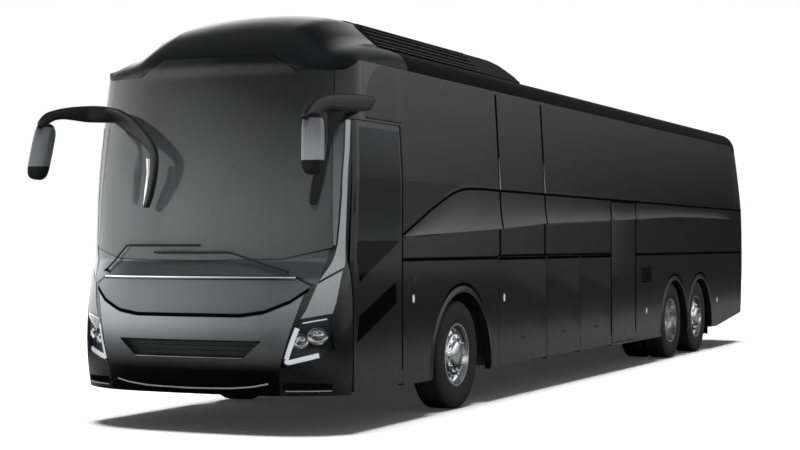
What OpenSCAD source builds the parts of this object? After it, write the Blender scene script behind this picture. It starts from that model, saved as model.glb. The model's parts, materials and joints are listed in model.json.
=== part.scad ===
// Three-axle touring coach, right-hand drive, entrance door on its left side.
// Frame: +X forward, +Y to the coach's left, +Z up, millimetres.
// Origin: on the ground, midway between the mirrors' front and the tail, on the centre line.

/* [Body] */
// Length of the body from nose to tail
body_length = 15000; // [14000:50:15500]
// Width of the body over its sides
body_width = 2600; // [2500:10:2600]
// Height of the roof's crown above the ground
roof_height = 3465; // [3400:5:3550]
// Height of the skirt's lower edge
skirt_z = 330; // [300:5:360]
// Thickness of the side, front and rear walls
wall_t = 60; // [50:1:70]
// Thickness of the roof
roof_t = 50; // [40:1:60]
// Height of the waist rail above the luggage flaps
waist_z = 1432; // [1400:2:1460]
// Height of the window sill
belt_z = 2130; // [2080:5:2180]
// Height of the cantrail, where side and roof meet
cantrail_z = 3110; // [3060:5:3150]
// How far the side leans in between sill and cantrail
lean = 56; // [30:1:80]
// Radius of the roof's corner
roof_corner_r = 200; // [160:5:240]

/* [Running gear] */
// Nose to front axle
front_overhang = 2850; // [2750:10:2950]
// Front axle to drive axle
wheelbase = 7700; // [7000:50:7900]
// Drive axle to tag axle
tag_spacing = 1400; // [1380:5:1450]
// Tyre diameter
tyre_d = 1030; // [1000:2:1050]
// Tyre width
tyre_w = 295; // [275:1:315]
// Rim flange diameter
flange_d = 600; // [580:1:620]
// Distance from the body's side in to the tyre's outer face
tyre_inset = 38; // [25:1:60]
// Distance between the twin tyres' middles
twin_spacing = 330; // [320:1:350]
// Radius of the wheel arch openings
arch_r = 680; // [660:5:690]
// Radius of the front wheel arch openings
front_arch_r = 730; // [700:5:760]
// Radius of the wheel spindles
spindle_r = 55; // [45:1:65]

/* [Doors and flaps] */
// Front edge of the entrance door, ahead of the front axle
door_front = 2346; // [2300:2:2360]
// Front edge of the entrance door at its top, ahead of the front axle
door_front_top = 2260; // [2230:2:2300]
// Rear edge of the entrance door, ahead of the front axle
door_rear = 1373; // [1340:2:1420]
// Height of the entrance door's top
door_top = 2600; // [2550:5:2640]
// Thickness of door leaves and flaps
leaf_t = 40; // [36:1:44]
// Gap round door leaves and flaps
leaf_gap = 8; // [6:1:10]
// Front edge of the middle door, behind the front axle
mid_front = 4776; // [4750:2:4800]
// Rear edge of the middle door, behind the front axle
mid_rear = 5791; // [5770:2:5810]
// Height of the middle door's top
mid_top = 2080; // [2040:5:2090]
// Radius of the hinge pins
pin_r = 7; // [6:0.5:9]

/* [Towing] */
// Radius of the tow bar's sockets behind the bumper's mouth
tow_r = 21; // [18:0.5:24]
// Depth of the tow bar's sockets
tow_depth = 90; // [70:1:110]

/* [Mirrors] */
// How far the mirrors stand ahead of the nose
mirror_reach = 330; // [300:5:360]
// Height of the mirror heads' lower end
mirror_low = 2110; // [2060:5:2160]
// Height of a mirror head
mirror_h = 490; // [460:5:530]

/* [Hidden] */
$fn = 64;

// Stations along the coach
nose_x = (body_length - mirror_reach) / 2;
tail_x = nose_x - body_length;
front_x = nose_x - front_overhang;
drive_x = front_x - wheelbase;
tag_x = drive_x - tag_spacing;
function at(d) = front_x + d;

half_w = body_width / 2;
tyre_r = tyre_d / 2;
wheel_y = half_w - tyre_inset - tyre_w / 2;
// Running clearance between a moving round piece and its seat
run_gap = 0.3;
// Gap between fixed panels
seam = 4;
// Gap between a pane and the wall that it is bonded to
bond = 0.3;
glass_t = 10;

// Half width of the body's outside at height z
function side_y(z) = z <= belt_z ? half_w : half_w - lean * (z - belt_z) / (cantrail_z - belt_z);

// Roof section: corner circle tangent to the leaning side, crown circle tangent to both corners
lean_run = norm([lean, cantrail_z - belt_z]);
corner_y = half_w - lean - roof_corner_r * (cantrail_z - belt_z) / lean_run;
corner_z = cantrail_z - roof_corner_r * lean / lean_run;
crown_rise = roof_height - corner_z;
crown_r = (corner_y * corner_y + crown_rise * crown_rise - roof_corner_r * roof_corner_r)
    / (2 * (crown_rise - roof_corner_r));
crown_z = roof_height - crown_r;
crown_edge = corner_y * crown_r / (crown_r - roof_corner_r);
function roof_z(y) = let(a = abs(y))
    a <= crown_edge ? crown_z + sqrt(crown_r * crown_r - a * a)
    : a <= half_w - lean ? corner_z + sqrt(max(0, roof_corner_r * roof_corner_r - pow(a - corner_y, 2)))
    : belt_z + (half_w - a) / lean * (cantrail_z - belt_z);

// Front surface: a plan curve of three arcs, given by the angle of its normal, shifted by height
nose_r = 6000;
nose_turn = 5.74;
cheek_r = 1000;
cheek_turn = 44.4;
edge_r = (half_w - nose_r * sin(nose_turn) - cheek_r * (sin(cheek_turn) - sin(nose_turn)))
    / (1 - sin(cheek_turn));
tail_r = 8000;
tail_turn = 7.5;
tail_corner_r = (half_w - tail_r * sin(tail_turn)) / (1 - sin(tail_turn));

// Plan curve of the nose: sideways place and setback at normal angle a
function nose_y(a) = let(b = abs(a)) sign(a) * (
    b <= nose_turn ? nose_r * sin(b)
    : b <= cheek_turn ? nose_r * sin(nose_turn) + cheek_r * (sin(b) - sin(nose_turn))
    : half_w - edge_r * (1 - sin(b)));
function nose_back(a) = let(b = abs(a),
        c1 = nose_r * (1 - cos(nose_turn)), c2 = c1 + cheek_r * (cos(nose_turn) - cos(cheek_turn)))
    b <= nose_turn ? nose_r * (1 - cos(b))
    : b <= cheek_turn ? c1 + cheek_r * (cos(nose_turn) - cos(b))
    : c2 + edge_r * (cos(cheek_turn) - cos(b));
// Plan curve of the tail
function tail_y(a) = let(b = abs(a)) sign(a) * (
    b <= tail_turn ? tail_r * sin(b) : half_w - tail_corner_r * (1 - sin(b)));
function tail_back(a) = let(b = abs(a))
    b <= tail_turn ? tail_r * (1 - cos(b))
    : tail_r * (1 - cos(tail_turn)) + tail_corner_r * (cos(tail_turn) - cos(b));

// Side profile of the nose: setback of its middle at height z
bulge_z = 750;
strip_z = 1290;
screen_z = 1430;
dome_z = 3020;
screen_top_z = 3171;
function nose_set(z) = let(u = (z - screen_z) / (screen_top_z - screen_z))
    z < bulge_z ? 60 * pow((bulge_z - z) / (bulge_z - skirt_z), 2)
    : z < strip_z ? 70 * pow((z - bulge_z) / (strip_z - bulge_z), 2)
    : z < screen_z ? 70 + 80 * (z - strip_z) / (screen_z - strip_z)
    : 150 + 340 * u - 120 * u * (1 - u);
// The plan curve flattens towards the roof
function nose_flat(z) = z < strip_z ? 1 : 1 - 0.5 * (z - strip_z) / (dome_z - strip_z);
// Side profile of the tail: it leans in above its middle and tucks in below
tail_mid_z = 1450;
function tail_set(z) = z < tail_mid_z ? 90 * pow((tail_mid_z - z) / 930, 2)
    : 330 * pow((z - tail_mid_z) / (cantrail_z - tail_mid_z), 2);

skin_end = at(2080);
cap_end = at(1150);
tail_end = tail_x + 800;
pod_half = 960;
pod_rise = 185;
// The pod's rise above the roof: flat on top, falling to nothing at its sides
function pod_lift(y) = let(u = max(0, min(1, (pod_half - abs(y)) / 330))) pod_rise * u * u * (3 - 2 * u);

half_turns = [0, 2, 4, nose_turn, 13, 21, 29, 37, cheek_turn, 54, 64, 74, 83, 90];
turns = concat([for (i = [len(half_turns) - 1:-1:1]) -half_turns[i]], half_turns);
tail_half_turns = [0, 2.5, 5, tail_turn, 20, 32, 44, 56, 68, 80, 90];
tail_turns = concat([for (i = [len(tail_half_turns) - 1:-1:1]) -tail_half_turns[i]], tail_half_turns);

// A point of the nose at height z and normal angle a, set in by t
function nose_point(a, z, t) = let(k = side_y(z) / half_w)
    [nose_x - nose_set(z) - nose_back(a) * nose_flat(z) - t * cos(a), nose_y(a) * k - t * sin(a), z];
// Height where the dome begins: over the windscreen in front, rising to the cantrail at the sides
function base_z(a) = let(u = max(0, min(1, (abs(a) - 40) / 50)))
    dome_z + (cantrail_z + bond - dome_z) * u * u * (3 - 2 * u);
function row_z(a, z) = z < dome_z ? z : base_z(a);
// A row of the nose's grid, its two ends carried straight back to skin_end
function nose_row(z, t) = let(p = [for (a = turns) nose_point(a, row_z(a, z), t)], n = len(p) - 1)
    concat([[skin_end, p[0].y, p[0].z]], p, [[skin_end, p[n].y, p[n].z]]);
// How far a dome rises at its inner face: never less than half the outer one
function dome_rise(rise, t) = max(rise / 2, rise - t);
// A row of the dome over the windscreen: a quarter ellipse from the nose's top to the roof
function dome_row(q, t) = [for (a = turns) let(b = base_z(a), p = nose_point(a, b, 0),
        k = 1 - t / side_y(b), top = max(b, roof_z(p.y) + pod_lift(p.y)))
    [p.x - (p.x - cap_end) * (1 - cos(q)) - t * cos(q), p.y * k, b + dome_rise(top - b, t) * sin(q)]];
// Rows of the windscreen's grid: up the nose and on into the dome
function screen_rows(t) = concat([for (z = high_heights) [for (a = turns) nose_point(a, row_z(a, z), t)]],
    [for (q = [8, 16, 26]) dome_row(q, t)]);
// A point of the tail, mirrored to face ahead, and a row of its grid
function tail_point(a, z, t) = [-tail_x - tail_set(z) - tail_back(a) - t * cos(a),
    tail_y(a) * side_y(z) / half_w - t * sin(a), z];
function tail_row(z, t) = let(p = [for (a = tail_turns) tail_point(a, z, t)], n = len(p) - 1)
    concat([[-tail_end, p[0].y, z]], p, [[-tail_end, p[n].y, z]]);

// A row of the dome over the rear wall
function tail_dome_row(q, t) = [for (a = tail_turns) let(p = tail_point(a, dome_z, 0),
        k = 1 - t / side_y(dome_z), x0 = p.x, top = max(dome_z, roof_z(p.y)))
    [x0 - (x0 + tail_end) * (1 - cos(q)) - t * cos(q), p.y * k,
        dome_z + dome_rise(top - dome_z, t) * sin(q)]];

// Closed shell between an outer and an inner grid of the same size
module shell(outer, inner) {
    rows = len(outer);
    cols = len(outer[0]);
    o = function(i, j) i * cols + j;
    n = function(i, j) rows * cols + i * cols + j;
    polyhedron(
        points = concat([for (r = outer) each r], [for (r = inner) each r]),
        faces = concat(
            [for (i = [0:rows - 2], j = [0:cols - 2])
                each [[o(i, j), o(i + 1, j), o(i + 1, j + 1)], [o(i, j), o(i + 1, j + 1), o(i, j + 1)]]],
            [for (i = [0:rows - 2], j = [0:cols - 2])
                each [[n(i, j), n(i + 1, j + 1), n(i + 1, j)], [n(i, j), n(i, j + 1), n(i + 1, j + 1)]]],
            [for (j = [0:cols - 2])
                each [[o(0, j), o(0, j + 1), n(0, j + 1)], [o(0, j), n(0, j + 1), n(0, j)]]],
            [for (j = [0:cols - 2], i = [rows - 1])
                each [[o(i, j), n(i, j + 1), o(i, j + 1)], [o(i, j), n(i, j), n(i, j + 1)]]],
            [for (i = [0:rows - 2])
                each [[o(i, 0), n(i + 1, 0), o(i + 1, 0)], [o(i, 0), n(i, 0), n(i + 1, 0)]]],
            [for (i = [0:rows - 2], j = [cols - 1])
                each [[o(i, j), o(i + 1, j), n(i + 1, j)], [o(i, j), n(i + 1, j), n(i, j)]]]),
        convexity = 6);
}

module nose_shell(heights, t) {
    shell([for (z = heights) nose_row(z, 0)], [for (z = heights) nose_row(z, t)]);
}
module dome_shell(angles, t) {
    shell([for (q = angles) dome_row(q, 0)], [for (q = angles) dome_row(q, t)]);
}
module tail_shell(heights, t) {
    mirror([1, 0, 0])
        shell([for (z = heights) tail_row(z, 0)], [for (z = heights) tail_row(z, t)]);
}

// A plate between two corners
module block(lo, hi) {
    translate(lo) cube(hi - lo);
}
// An outline in the Y-Z plane carried along X
module along_x(x0, x1) {
    translate([x0, 0, 0]) rotate([90, 0, 90]) linear_extrude(x1 - x0) children();
}
// An outline in the X-Z plane carried along Y
module along_y(y0, y1) {
    translate([0, y1, 0]) rotate([90, 0, 0]) linear_extrude(y1 - y0) children();
}
// A rod along X, Y or Z between two places
module rod_x(x0, x1, y, z, r) {
    translate([x0, y, z]) rotate([0, 90, 0]) cylinder(h = x1 - x0, r = r);
}
module rod_y(x, y0, y1, z, r) {
    translate([x, y0, z]) rotate([-90, 0, 0]) cylinder(h = y1 - y0, r = r);
}
module rod_z(x, y, z0, z1, r) {
    translate([x, y, z0]) cylinder(h = z1 - z0, r = r);
}
module on_side(s) {
    if (s > 0) children();
    else mirror([0, 1, 0]) children();
}
function both_sides(half) = concat(half, [for (i = [len(half) - 1:-1:0]) [-half[i].x, half[i].y]]);

// A half outline grown sideways by dx, and by up above the height split, by down below it
function grown(half, split, dx, up, down) =
    [for (p = half) [p.x == 0 ? 0 : p.x + dx, p.y > split ? p.y + up : p.y - down]];

// Outlines of the front's pieces, seen from ahead, half of each: sideways place, height
screen_half = [[0, screen_top_z], [524, screen_top_z], [757, dome_z], [1085, dome_z], [1150, 1540],
    [800, 1450], [0, screen_z + 4]];
grille_half = [[0, strip_z - 4], [930, strip_z - 4], [1040, 1225], [900, 1115], [700, 1030], [500, 1000],
    [0, 1000]];
bumper_half = [[0, 1000 - seam], [500, 1000 - seam], [700, 1030 - seam], [900, 1111], [1005, 1188],
    [825, 556], [770, 0], [0, 0]];
lamp_outline = [[837, 560], [950, 930], [1185, 985], [1215, 720], [1130, 640]];
mouth_half = [[0, 780], [685, 780], [520, 632], [0, 632]];

low_heights = [skirt_z, 450, 600, bulge_z, 900, 1050, 1180, strip_z, screen_z];
high_heights = [screen_z, 1640, 1850, 2130, 2410, 2700, dome_z];
dome_angles = [0, 8, 16, 26, 37, 49, 62, 76, 90];

module front_cut(points) {
    along_x(skin_end - 1, nose_x + 200) polygon(points);
}
module lamp_cut(grow) {
    for (s = [1, -1]) on_side(s) front_cut([for (p = lamp_outline) p + grow * sign_from(p, lamp_outline)]);
}
// Direction from an outline's middle to one of its corners, as plus or minus one
function sign_from(p, outline) = let(m = [for (i = [0, 1]) sum_of([for (q = outline) q[i]]) / len(outline)])
    [sign(p.x - m.x), sign(p.y - m.y)];
function sum_of(v, i = 0) = i == len(v) ? 0 : v[i] + sum_of(v, i + 1);

// The entrance's opening through the left side and corner
module entrance_outline(grow, low) {
    polygon([[at(door_rear) - grow, low], [at(door_front) + grow, low], [at(door_front) + grow, screen_z],
        [at(door_front_top) + grow, door_top + grow], [at(door_rear) - grow, door_top + grow]]);
}
module entrance_cut(grow) {
    along_y(1050, half_w + 100) entrance_outline(grow, skirt_z - 100);
}

// One side's wall profile between two heights, set in by two depths from the outside
module wall_profile(z0, z1, d0, d1) {
    zs = z0 < belt_z && z1 > belt_z ? [z0, belt_z, z1] : [z0, z1];
    polygon(concat([for (z = zs) [side_y(z) - d0, z]],
        [for (i = [len(zs) - 1:-1:0]) [side_y(zs[i]) - d1, zs[i]]]));
}

// Panes: first and last station, lower and upper height
sill_z = belt_z + 6;
head_z = cantrail_z - 6;
pane_ends = concat([-1013, -2367], [for (i = [1:6]) -2367 - i * 1490]);
pane_gap = 8;
rim_w = 55;
quarter_r = 430;

// Outline of a pane in the X-Z plane, grown by g: 0 is the quarter pane over the door,
// 1 the long pane with the rising lower edge, 2 and on the plain panes
module pane_outline(i, g) {
    if (i == 0) intersection() {
        translate([at(door_rear) + pane_gap - g, door_top + 40 - g])
            square([690 + 2 * g, head_z - door_top - 40 + 2 * g]);
        union() {
            translate([at(1640), head_z - quarter_r]) circle(quarter_r + g);
            translate([at(door_rear) - 500, door_top]) square([767, 700]);
            translate([at(door_rear) - 500, door_top]) square([1500, head_z - quarter_r - door_top]);
        }
    }
    else if (i == 1) polygon([[at(door_rear) - pane_gap + g, 1640 - 1.4 * g], [at(640), 1935 - 1.2 * g],
        [at(300), 2075 - 1.1 * g], [at(40), sill_z - g], [at(pane_ends[0]) + pane_gap / 2 - g, sill_z - g],
        [at(pane_ends[0]) + pane_gap / 2 - g, head_z + g], [at(door_rear) - pane_gap + g, head_z + g]]);
    else translate([at(pane_ends[i - 1]) + pane_gap / 2 - g, sill_z - g])
        square([pane_ends[i - 2] - pane_ends[i - 1] - pane_gap + 2 * g, head_z - sill_z + 2 * g]);
}
pane_count = len(pane_ends);
// Outline of the driver's side window
module driver_outline(g) {
    translate([at(door_rear) + 60 - g, 1640 - g]) square([640 + 2 * g, door_top - 1640 - 40 + 2 * g]);
}

// A flap's ends along the coach and its pins' axis
flap_ends = [-949, -2405, -3561, -4776];
flap_low = skirt_z + 20;
flap_axis_z = waist_z - 22;
flap_axis_y = half_w - leaf_t / 2;
post_w = 24;

module flap_window(i) {
    block([at(flap_ends[i + 1]) + post_w / 2, 0, skirt_z - 50],
        [at(flap_ends[i]) - post_w / 2, half_w + 50, flap_axis_z + leaf_t / 2 + leaf_gap]);
}
module flap(i) {
    x0 = at(flap_ends[i + 1]) + post_w / 2 + leaf_gap;
    x1 = at(flap_ends[i]) - post_w / 2 - leaf_gap;
    color("#1a1b1d") union() {
        block([x0, half_w - leaf_t, flap_low], [x1, half_w, flap_axis_z]);
        rod_x(x0, x1, flap_axis_y, flap_axis_z, leaf_t / 2);
        rod_x(x0 - leaf_gap - post_w / 2 + 2, x1 + leaf_gap + post_w / 2 - 2,
            flap_axis_y, flap_axis_z, pin_r);
    }
}

// Rear end: the skirt rises behind the tag axle
tail_rise = 190;
module tail_rise_cut() {
    along_y(-half_w - 50, half_w + 50)
        polygon([[tag_x - 1020, 0], [tag_x - 1020, skirt_z], [tail_x, skirt_z + tail_rise],
            [tail_x - 50, skirt_z + tail_rise], [tail_x - 50, 0]]);
}

module arch_cuts() {
    rod_y(front_x, 0, half_w + 50, skirt_z + 55, front_arch_r);
    for (x = [drive_x, tag_x]) rod_y(x, 0, half_w + 50, skirt_z + 65, arch_r);
}

// The wall of one side with its glazing recess, apertures, arches and flap openings
module side_wall(s) {
    color("#141517") on_side(s) difference() {
        along_x(tail_end, skin_end - seam) wall_profile(skirt_z, cantrail_z, 0, wall_t);
        for (i = [s > 0 ? 0 : 1:pane_count]) {
            intersection() {
                along_y(half_w - 300, half_w + 50) pane_outline(i, bond);
                along_x(tail_end, skin_end) wall_profile(1500, cantrail_z, -20, glass_t + bond);
            }
            along_y(half_w - 300, half_w + 50) pane_outline(i, -rim_w);
        }
        arch_cuts();
        tail_rise_cut();
        for (i = [0:2]) {
            flap_window(i);
            rod_x(at(flap_ends[i + 1]), at(flap_ends[i]), flap_axis_y, flap_axis_z, pin_r + run_gap);
        }
        if (s > 0) {
            entrance_cut(leaf_gap);
            middle_cut();
        }
        else {
            intersection() {
                along_y(half_w - 300, half_w + 50) driver_outline(bond);
                along_x(tail_end, skin_end) wall_profile(1500, cantrail_z, -20, glass_t + bond);
            }
            along_y(half_w - 300, half_w + 50) driver_outline(-rim_w);
        }
    }
}
module left_side() { side_wall(1); }
module right_side() { side_wall(-1); }

module side_glass() {
    color("#3a3d40") for (s = [1, -1], i = [s > 0 ? 0 : 1:pane_count + (s > 0 ? 0 : 1)]) on_side(s)
        intersection() {
            along_y(half_w - 300, half_w + 50) if (i > pane_count) driver_outline(0);
            else pane_outline(i, 0);
            along_x(tail_end, skin_end) wall_profile(1500, cantrail_z, 0, glass_t);
        }
}

// Roof section, set in by t
module roof_section(t) {
    for (s = [1, -1]) translate([s * corner_y, corner_z]) circle(roof_corner_r - t);
    intersection() {
        translate([0, crown_z]) circle(crown_r - t, $fn = 200);
        polygon([[-crown_edge, roof_height + 50], [-corner_y, corner_z], [-corner_y, corner_z - 500],
            [corner_y, corner_z - 500], [corner_y, corner_z], [crown_edge, roof_height + 50]]);
    }
}
module roof() {
    color("#0d0e0f") along_x(tail_end, cap_end - seam) difference() {
        intersection() {
            roof_section(0);
            translate([-half_w, cantrail_z + bond]) square([body_width, 500]);
        }
        roof_section(roof_t);
    }
}

module front_cap() {
    color("#101113") difference() {
        translate([0, 0, bond]) dome_shell(dome_angles, roof_t);
        front_cut(both_sides(grown(screen_half, dome_z + 1, seam, seam, 0)));
        for (s = [1, -1]) on_side(s) block([cap_end - 100, half_w - 200, dome_z - 100],
            [skin_end, half_w + 50, cantrail_z + bond]);
    }
}

module front_mask() {
    color("#17181a") difference() {
        union() {
            nose_shell(low_heights, wall_t);
            nose_shell(high_heights, wall_t);
        }
        front_cut(both_sides(grown(screen_half, dome_z - 1, seam, 10, seam)));
        front_cut(both_sides(grown(grille_half, 1200, 2 * seam, seam, 2 * seam)));
        front_cut(both_sides(grown(bumper_half, 700, seam, seam, 0)));
        lamp_cut(bond);
        entrance_cut(leaf_gap);
        mirror_bores();
        wiper_bores();
    }
    color("#17181a") column_bearing();
}
module grille_panel() {
    color("#2b2d30") intersection() {
        nose_shell([900, 1050, 1180, strip_z], wall_t / 2);
        front_cut(both_sides(grille_half));
    }
}
module bumper() {
    color("#1c1d20") difference() {
        intersection() {
            nose_shell([skirt_z, 450, 600, bulge_z, 900, 1050, 1180, strip_z], wall_t);
            front_cut(both_sides(bumper_half));
        }
        front_cut(both_sides(mouth_half));
    }
}
module headlamps() {
    color("#d8dde2") intersection() {
        nose_shell([450, 600, bulge_z, 900, 1050], wall_t);
        lamp_cut(0);
    }
}
module windscreen() {
    color("#303336") intersection() {
        shell(screen_rows(0), screen_rows(glass_t));
        front_cut(both_sides(screen_half));
    }
}

tail_heights = [skirt_z + 40, 600, 900, 1200, tail_mid_z, 1750, 2050, 2350, 2650, 2880, dome_z];
lid_half = [[0, 1700], [800, 1700], [880, 640], [0, 640]];
rear_pane_half = [[0, 2950], [900, 2950], [960, 2150], [0, 2150]];
tail_lamp = [[1010, 1560], [1190, 1560], [1190, 960], [1010, 960]];
module rear_cut(points) {
    along_x(tail_x - 100, tail_end) polygon(points);
}
module tail_lamp_cut(grow) {
    for (s = [1, -1]) on_side(s) rear_cut([for (p = tail_lamp) p + grow * sign_from(p, tail_lamp)]);
}
// The lid's hinge axis lies just inside the rear wall, over the lid's top edge
lid_axis_x = tail_x + tail_set(1706) + 22;
lid_axis_z = 1706;
lid_pin_y = 350;
module tail_dome(angles, t) {
    mirror([1, 0, 0])
        shell([for (q = angles) tail_dome_row(q, 0)], [for (q = angles) tail_dome_row(q, t)]);
}
module rear_wall() {
    color("#141517") difference() {
        tail_shell(tail_heights, wall_t);
        rear_cut(both_sides(grown(rear_pane_half, 2500, bond, bond, bond)));
        rear_cut(both_sides(grown(lid_half, 1000, leaf_gap, 2, leaf_gap)));
        rod_y(lid_axis_x, -900, 900, lid_axis_z, 30);
        rod_y(lid_axis_x, -lid_pin_y - 32, lid_pin_y + 32, lid_axis_z, pin_r + run_gap);
        tail_lamp_cut(bond);
        tail_rise_cut();
    }
    // Lugs that carry the lid's pins
    color("#141517") for (s = [1, -1]) on_side(s) difference() {
        block([lid_axis_x - 13, lid_pin_y + leaf_gap, lid_axis_z - 13],
            [lid_axis_x + 36, lid_pin_y + 40, lid_axis_z + 60]);
        rod_y(lid_axis_x, lid_pin_y, lid_pin_y + 32, lid_axis_z, pin_r + run_gap);
    }
}
module rear_cap() {
    color("#0d0e0f") translate([0, 0, bond]) tail_dome([0, 12, 25, 40, 56, 73, 90], wall_t);
}
module rear_glass() {
    color("#303336") intersection() {
        tail_shell(tail_heights, glass_t);
        rear_cut(both_sides(rear_pane_half));
    }
}
module tail_lamps() {
    color("#7a1518") intersection() {
        tail_shell([900, 1200, tail_mid_z, 1750], wall_t);
        tail_lamp_cut(0);
    }
}
module engine_lid() {
    color("#1a1b1d") union() {
        difference() {
            intersection() {
                tail_shell([600, 900, 1200, tail_mid_z, 1750], leaf_t);
                rear_cut(both_sides(lid_half));
            }
            for (s = [1, -1]) on_side(s) block([lid_axis_x - 80, lid_pin_y, lid_axis_z - 45],
                [lid_axis_x + 80, lid_pin_y + 40 + leaf_gap, lid_axis_z + 20]);
        }
        rod_y(lid_axis_x, -lid_pin_y, lid_pin_y, lid_axis_z, 14);
        rod_y(lid_axis_x, -lid_pin_y - 30, lid_pin_y + 30, lid_axis_z, pin_r);
    }
}

// Roof pod: the air conditioner's fairing, from the cap back
pod_end = at(-2650);
pod_ys = [for (i = [-20:20]) i * 45];
module roof_pod() {
    color("#0d0e0f") intersection() {
        along_x(pod_end, cap_end - seam) difference() {
            polygon(concat([for (y = pod_ys) [y, roof_z(y) + pod_lift(y)]], [[900, 3000], [-900, 3000]]));
            translate([0, crown_z]) circle(crown_r + 0.3, $fn = 200);
        }
        along_y(-half_w, half_w) polygon([[pod_end, 3000], [pod_end, roof_height - 35],
            [at(-2450), roof_height + 75],
            [at(-2100), roof_height + 150], [at(-1700), roof_height + 190], [cap_end, roof_height + 300],
            [cap_end, 3000]]);
    }
}

// A round bar between two points
module bar(p, q, r) {
    v = q - p;
    translate(p) rotate([0, acos(v.z / norm(v)), atan2(v.y, v.x)]) cylinder(h = norm(v), r = r);
}
// A square bar between two points
module flat_bar(p, q, w) {
    v = q - p;
    translate(p) rotate([0, acos(v.z / norm(v)), atan2(v.y, v.x)])
        linear_extrude(norm(v)) square(w, center = true);
}

// Mirrors: a leaning head at the end of each arm. The left arm carries a second blade under its
// elbow, the right one arches over the windscreen's corner and ends in a blade ahead of the glass
head_x = nose_x + mirror_reach - 105.5;
head_y = 1298;
head_w = 175;
head_d = 120;
root_x = at(2190);
root_z = 2720;
function bow(a) = sign(a) * pow(abs(a), 0.6);
module mirror_head() {
    translate([head_x, head_y, mirror_low + mirror_h / 2]) rotate([5, -11, 0]) intersection() {
        linear_extrude(mirror_h, center = true)
            polygon([for (a = [9:18:359]) [head_d / 2 * bow(cos(a)), head_w / 2 * bow(sin(a))]]);
        along_x(-100, 100) polygon([for (k = [[1, 1], [-1, 1], [-1, -1], [1, -1]], a = [9, 27, 45, 63, 81])
            let(b = k.x * k.y > 0 ? a : 90 - a)
            [k.x * (head_w / 2 - 48 + 50 * cos(b)), k.y * (mirror_h / 2 - 48 + 50 * sin(b))]]);
    }
}
// A flat strap standing upright from p towards q: places along it and heights
module strap(p, q, t, outline) {
    translate([p.x, p.y, 0]) rotate([90, 0, atan2(q.y - p.y, q.x - p.x)])
        linear_extrude(t, center = true) polygon(outline);
}
arm_left = [[1, 2792], [22, 2808], [267, 2807], [572, 2785], [767, 2760], [886, 2723], [972, 2669],
    [1050, 2593], [1029, 2548], [843, 2560], [785, 2619], [696, 2650], [318, 2652], [56, 2681]];
blade_left = [[-30, 2690], [150, 2690], [134, 2630], [128, 2450], [140, 2300], [168, 2190], [180, 2150],
    [245, 2131], [262, 2050], [275, 1925], [268, 1895], [252, 1885], [215, 1885], [195, 1905], [170, 2010],
    [136, 2132], [130, 2184], [92, 2371], [88, 2447], [-14, 2600], [-30, 2640]];
arm_right = [[-74, 2610], [-34, 2661], [16, 2693], [149, 2730], [295, 2756], [496, 2777], [600, 2780],
    [600, 2633], [443, 2628], [232, 2635], [191, 2650], [78, 2625], [27, 2592], [-74, 2545]];
blade_right = [[0, 2782], [78, 2773], [296, 2733], [482, 2653], [650, 2542], [775, 2438], [830, 2363],
    [844, 2274], [824, 2146], [776, 2002], [736, 1914], [690, 1874], [640, 1880], [650, 1972], [655, 2053],
    [680, 2166], [690, 2264], [706, 2312], [741, 2343], [651, 2411], [511, 2483], [369, 2547], [224, 2623],
    [79, 2629], [0, 2632]];
module mirrors() {
    color("#232426") union() {
        mirror_head();
        rod_y(root_x, 1170, 1340, root_z, 30);
        strap([at(2080), 1345], [at(3080), 1245], 60, arm_left);
        strap([at(2560), 1297], [at(2720), 1090], 44, blade_left);
    }
    color("#232426") union() {
        on_side(-1) mirror_head();
        rod_x(at(2200), at(2500), -1150, root_z - 5, 22);
        translate([at(2460), -1120, 2625]) cylinder(h = 165, r = 34);
        strap([at(3040), -1275], [at(2460), -1120], 50, arm_right);
        strap([at(2460), -1120], [at(2720), -450], 44, blade_right);
    }
}
module mirror_bores() {
    rod_y(root_x, 1100, half_w + 20, root_z, 30 + bond);
    rod_x(at(2100), at(2440), -1150, root_z - 5, 22 + bond);
}

// Normal angle of the nose's plan curve at a sideways place
function turn_of(y) = let(b = abs(y)) sign(y) * (b <= nose_r * sin(nose_turn) ? asin(b / nose_r)
    : asin((b - nose_r * sin(nose_turn)) / cheek_r + sin(nose_turn)));
function ahead(y, z, d) = nose_point(turn_of(y), z, -d);
// Wipers: an arm from its spindle to its blade's middle, and the blade, as places across and up
wiper_arms = [[[-920, 1345], [-700, 1560]], [[850, 1345], [330, 1500]]];
wiper_blades = [[-700, -350, 40, 1560], [-400, 0, 330, 1500]];
module wipers() {
    color("#0a0a0b") for (i = [0, 1]) union() {
        a = wiper_arms[i];
        b = wiper_blades[i];
        bar(ahead(a[0].x, a[0].y, -40), ahead(a[0].x, a[0].y, 38), 11);
        flat_bar(ahead(a[0].x, a[0].y, 27), ahead(a[1].x, a[1].y, 29), 17);
        for (j = [0, 1]) flat_bar(ahead(b[j], b[3], 28), ahead(b[j + 1], b[3], 28), 22);
        for (p = [ahead(a[1].x, a[1].y, 29), ahead(b[1], b[3], 28)]) translate(p) cube(27, center = true);
    }
}
module wiper_bores() {
    for (a = wiper_arms) bar(ahead(a[0].x, a[0].y, -90), ahead(a[0].x, a[0].y, 40), 11 + bond);
}

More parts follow.
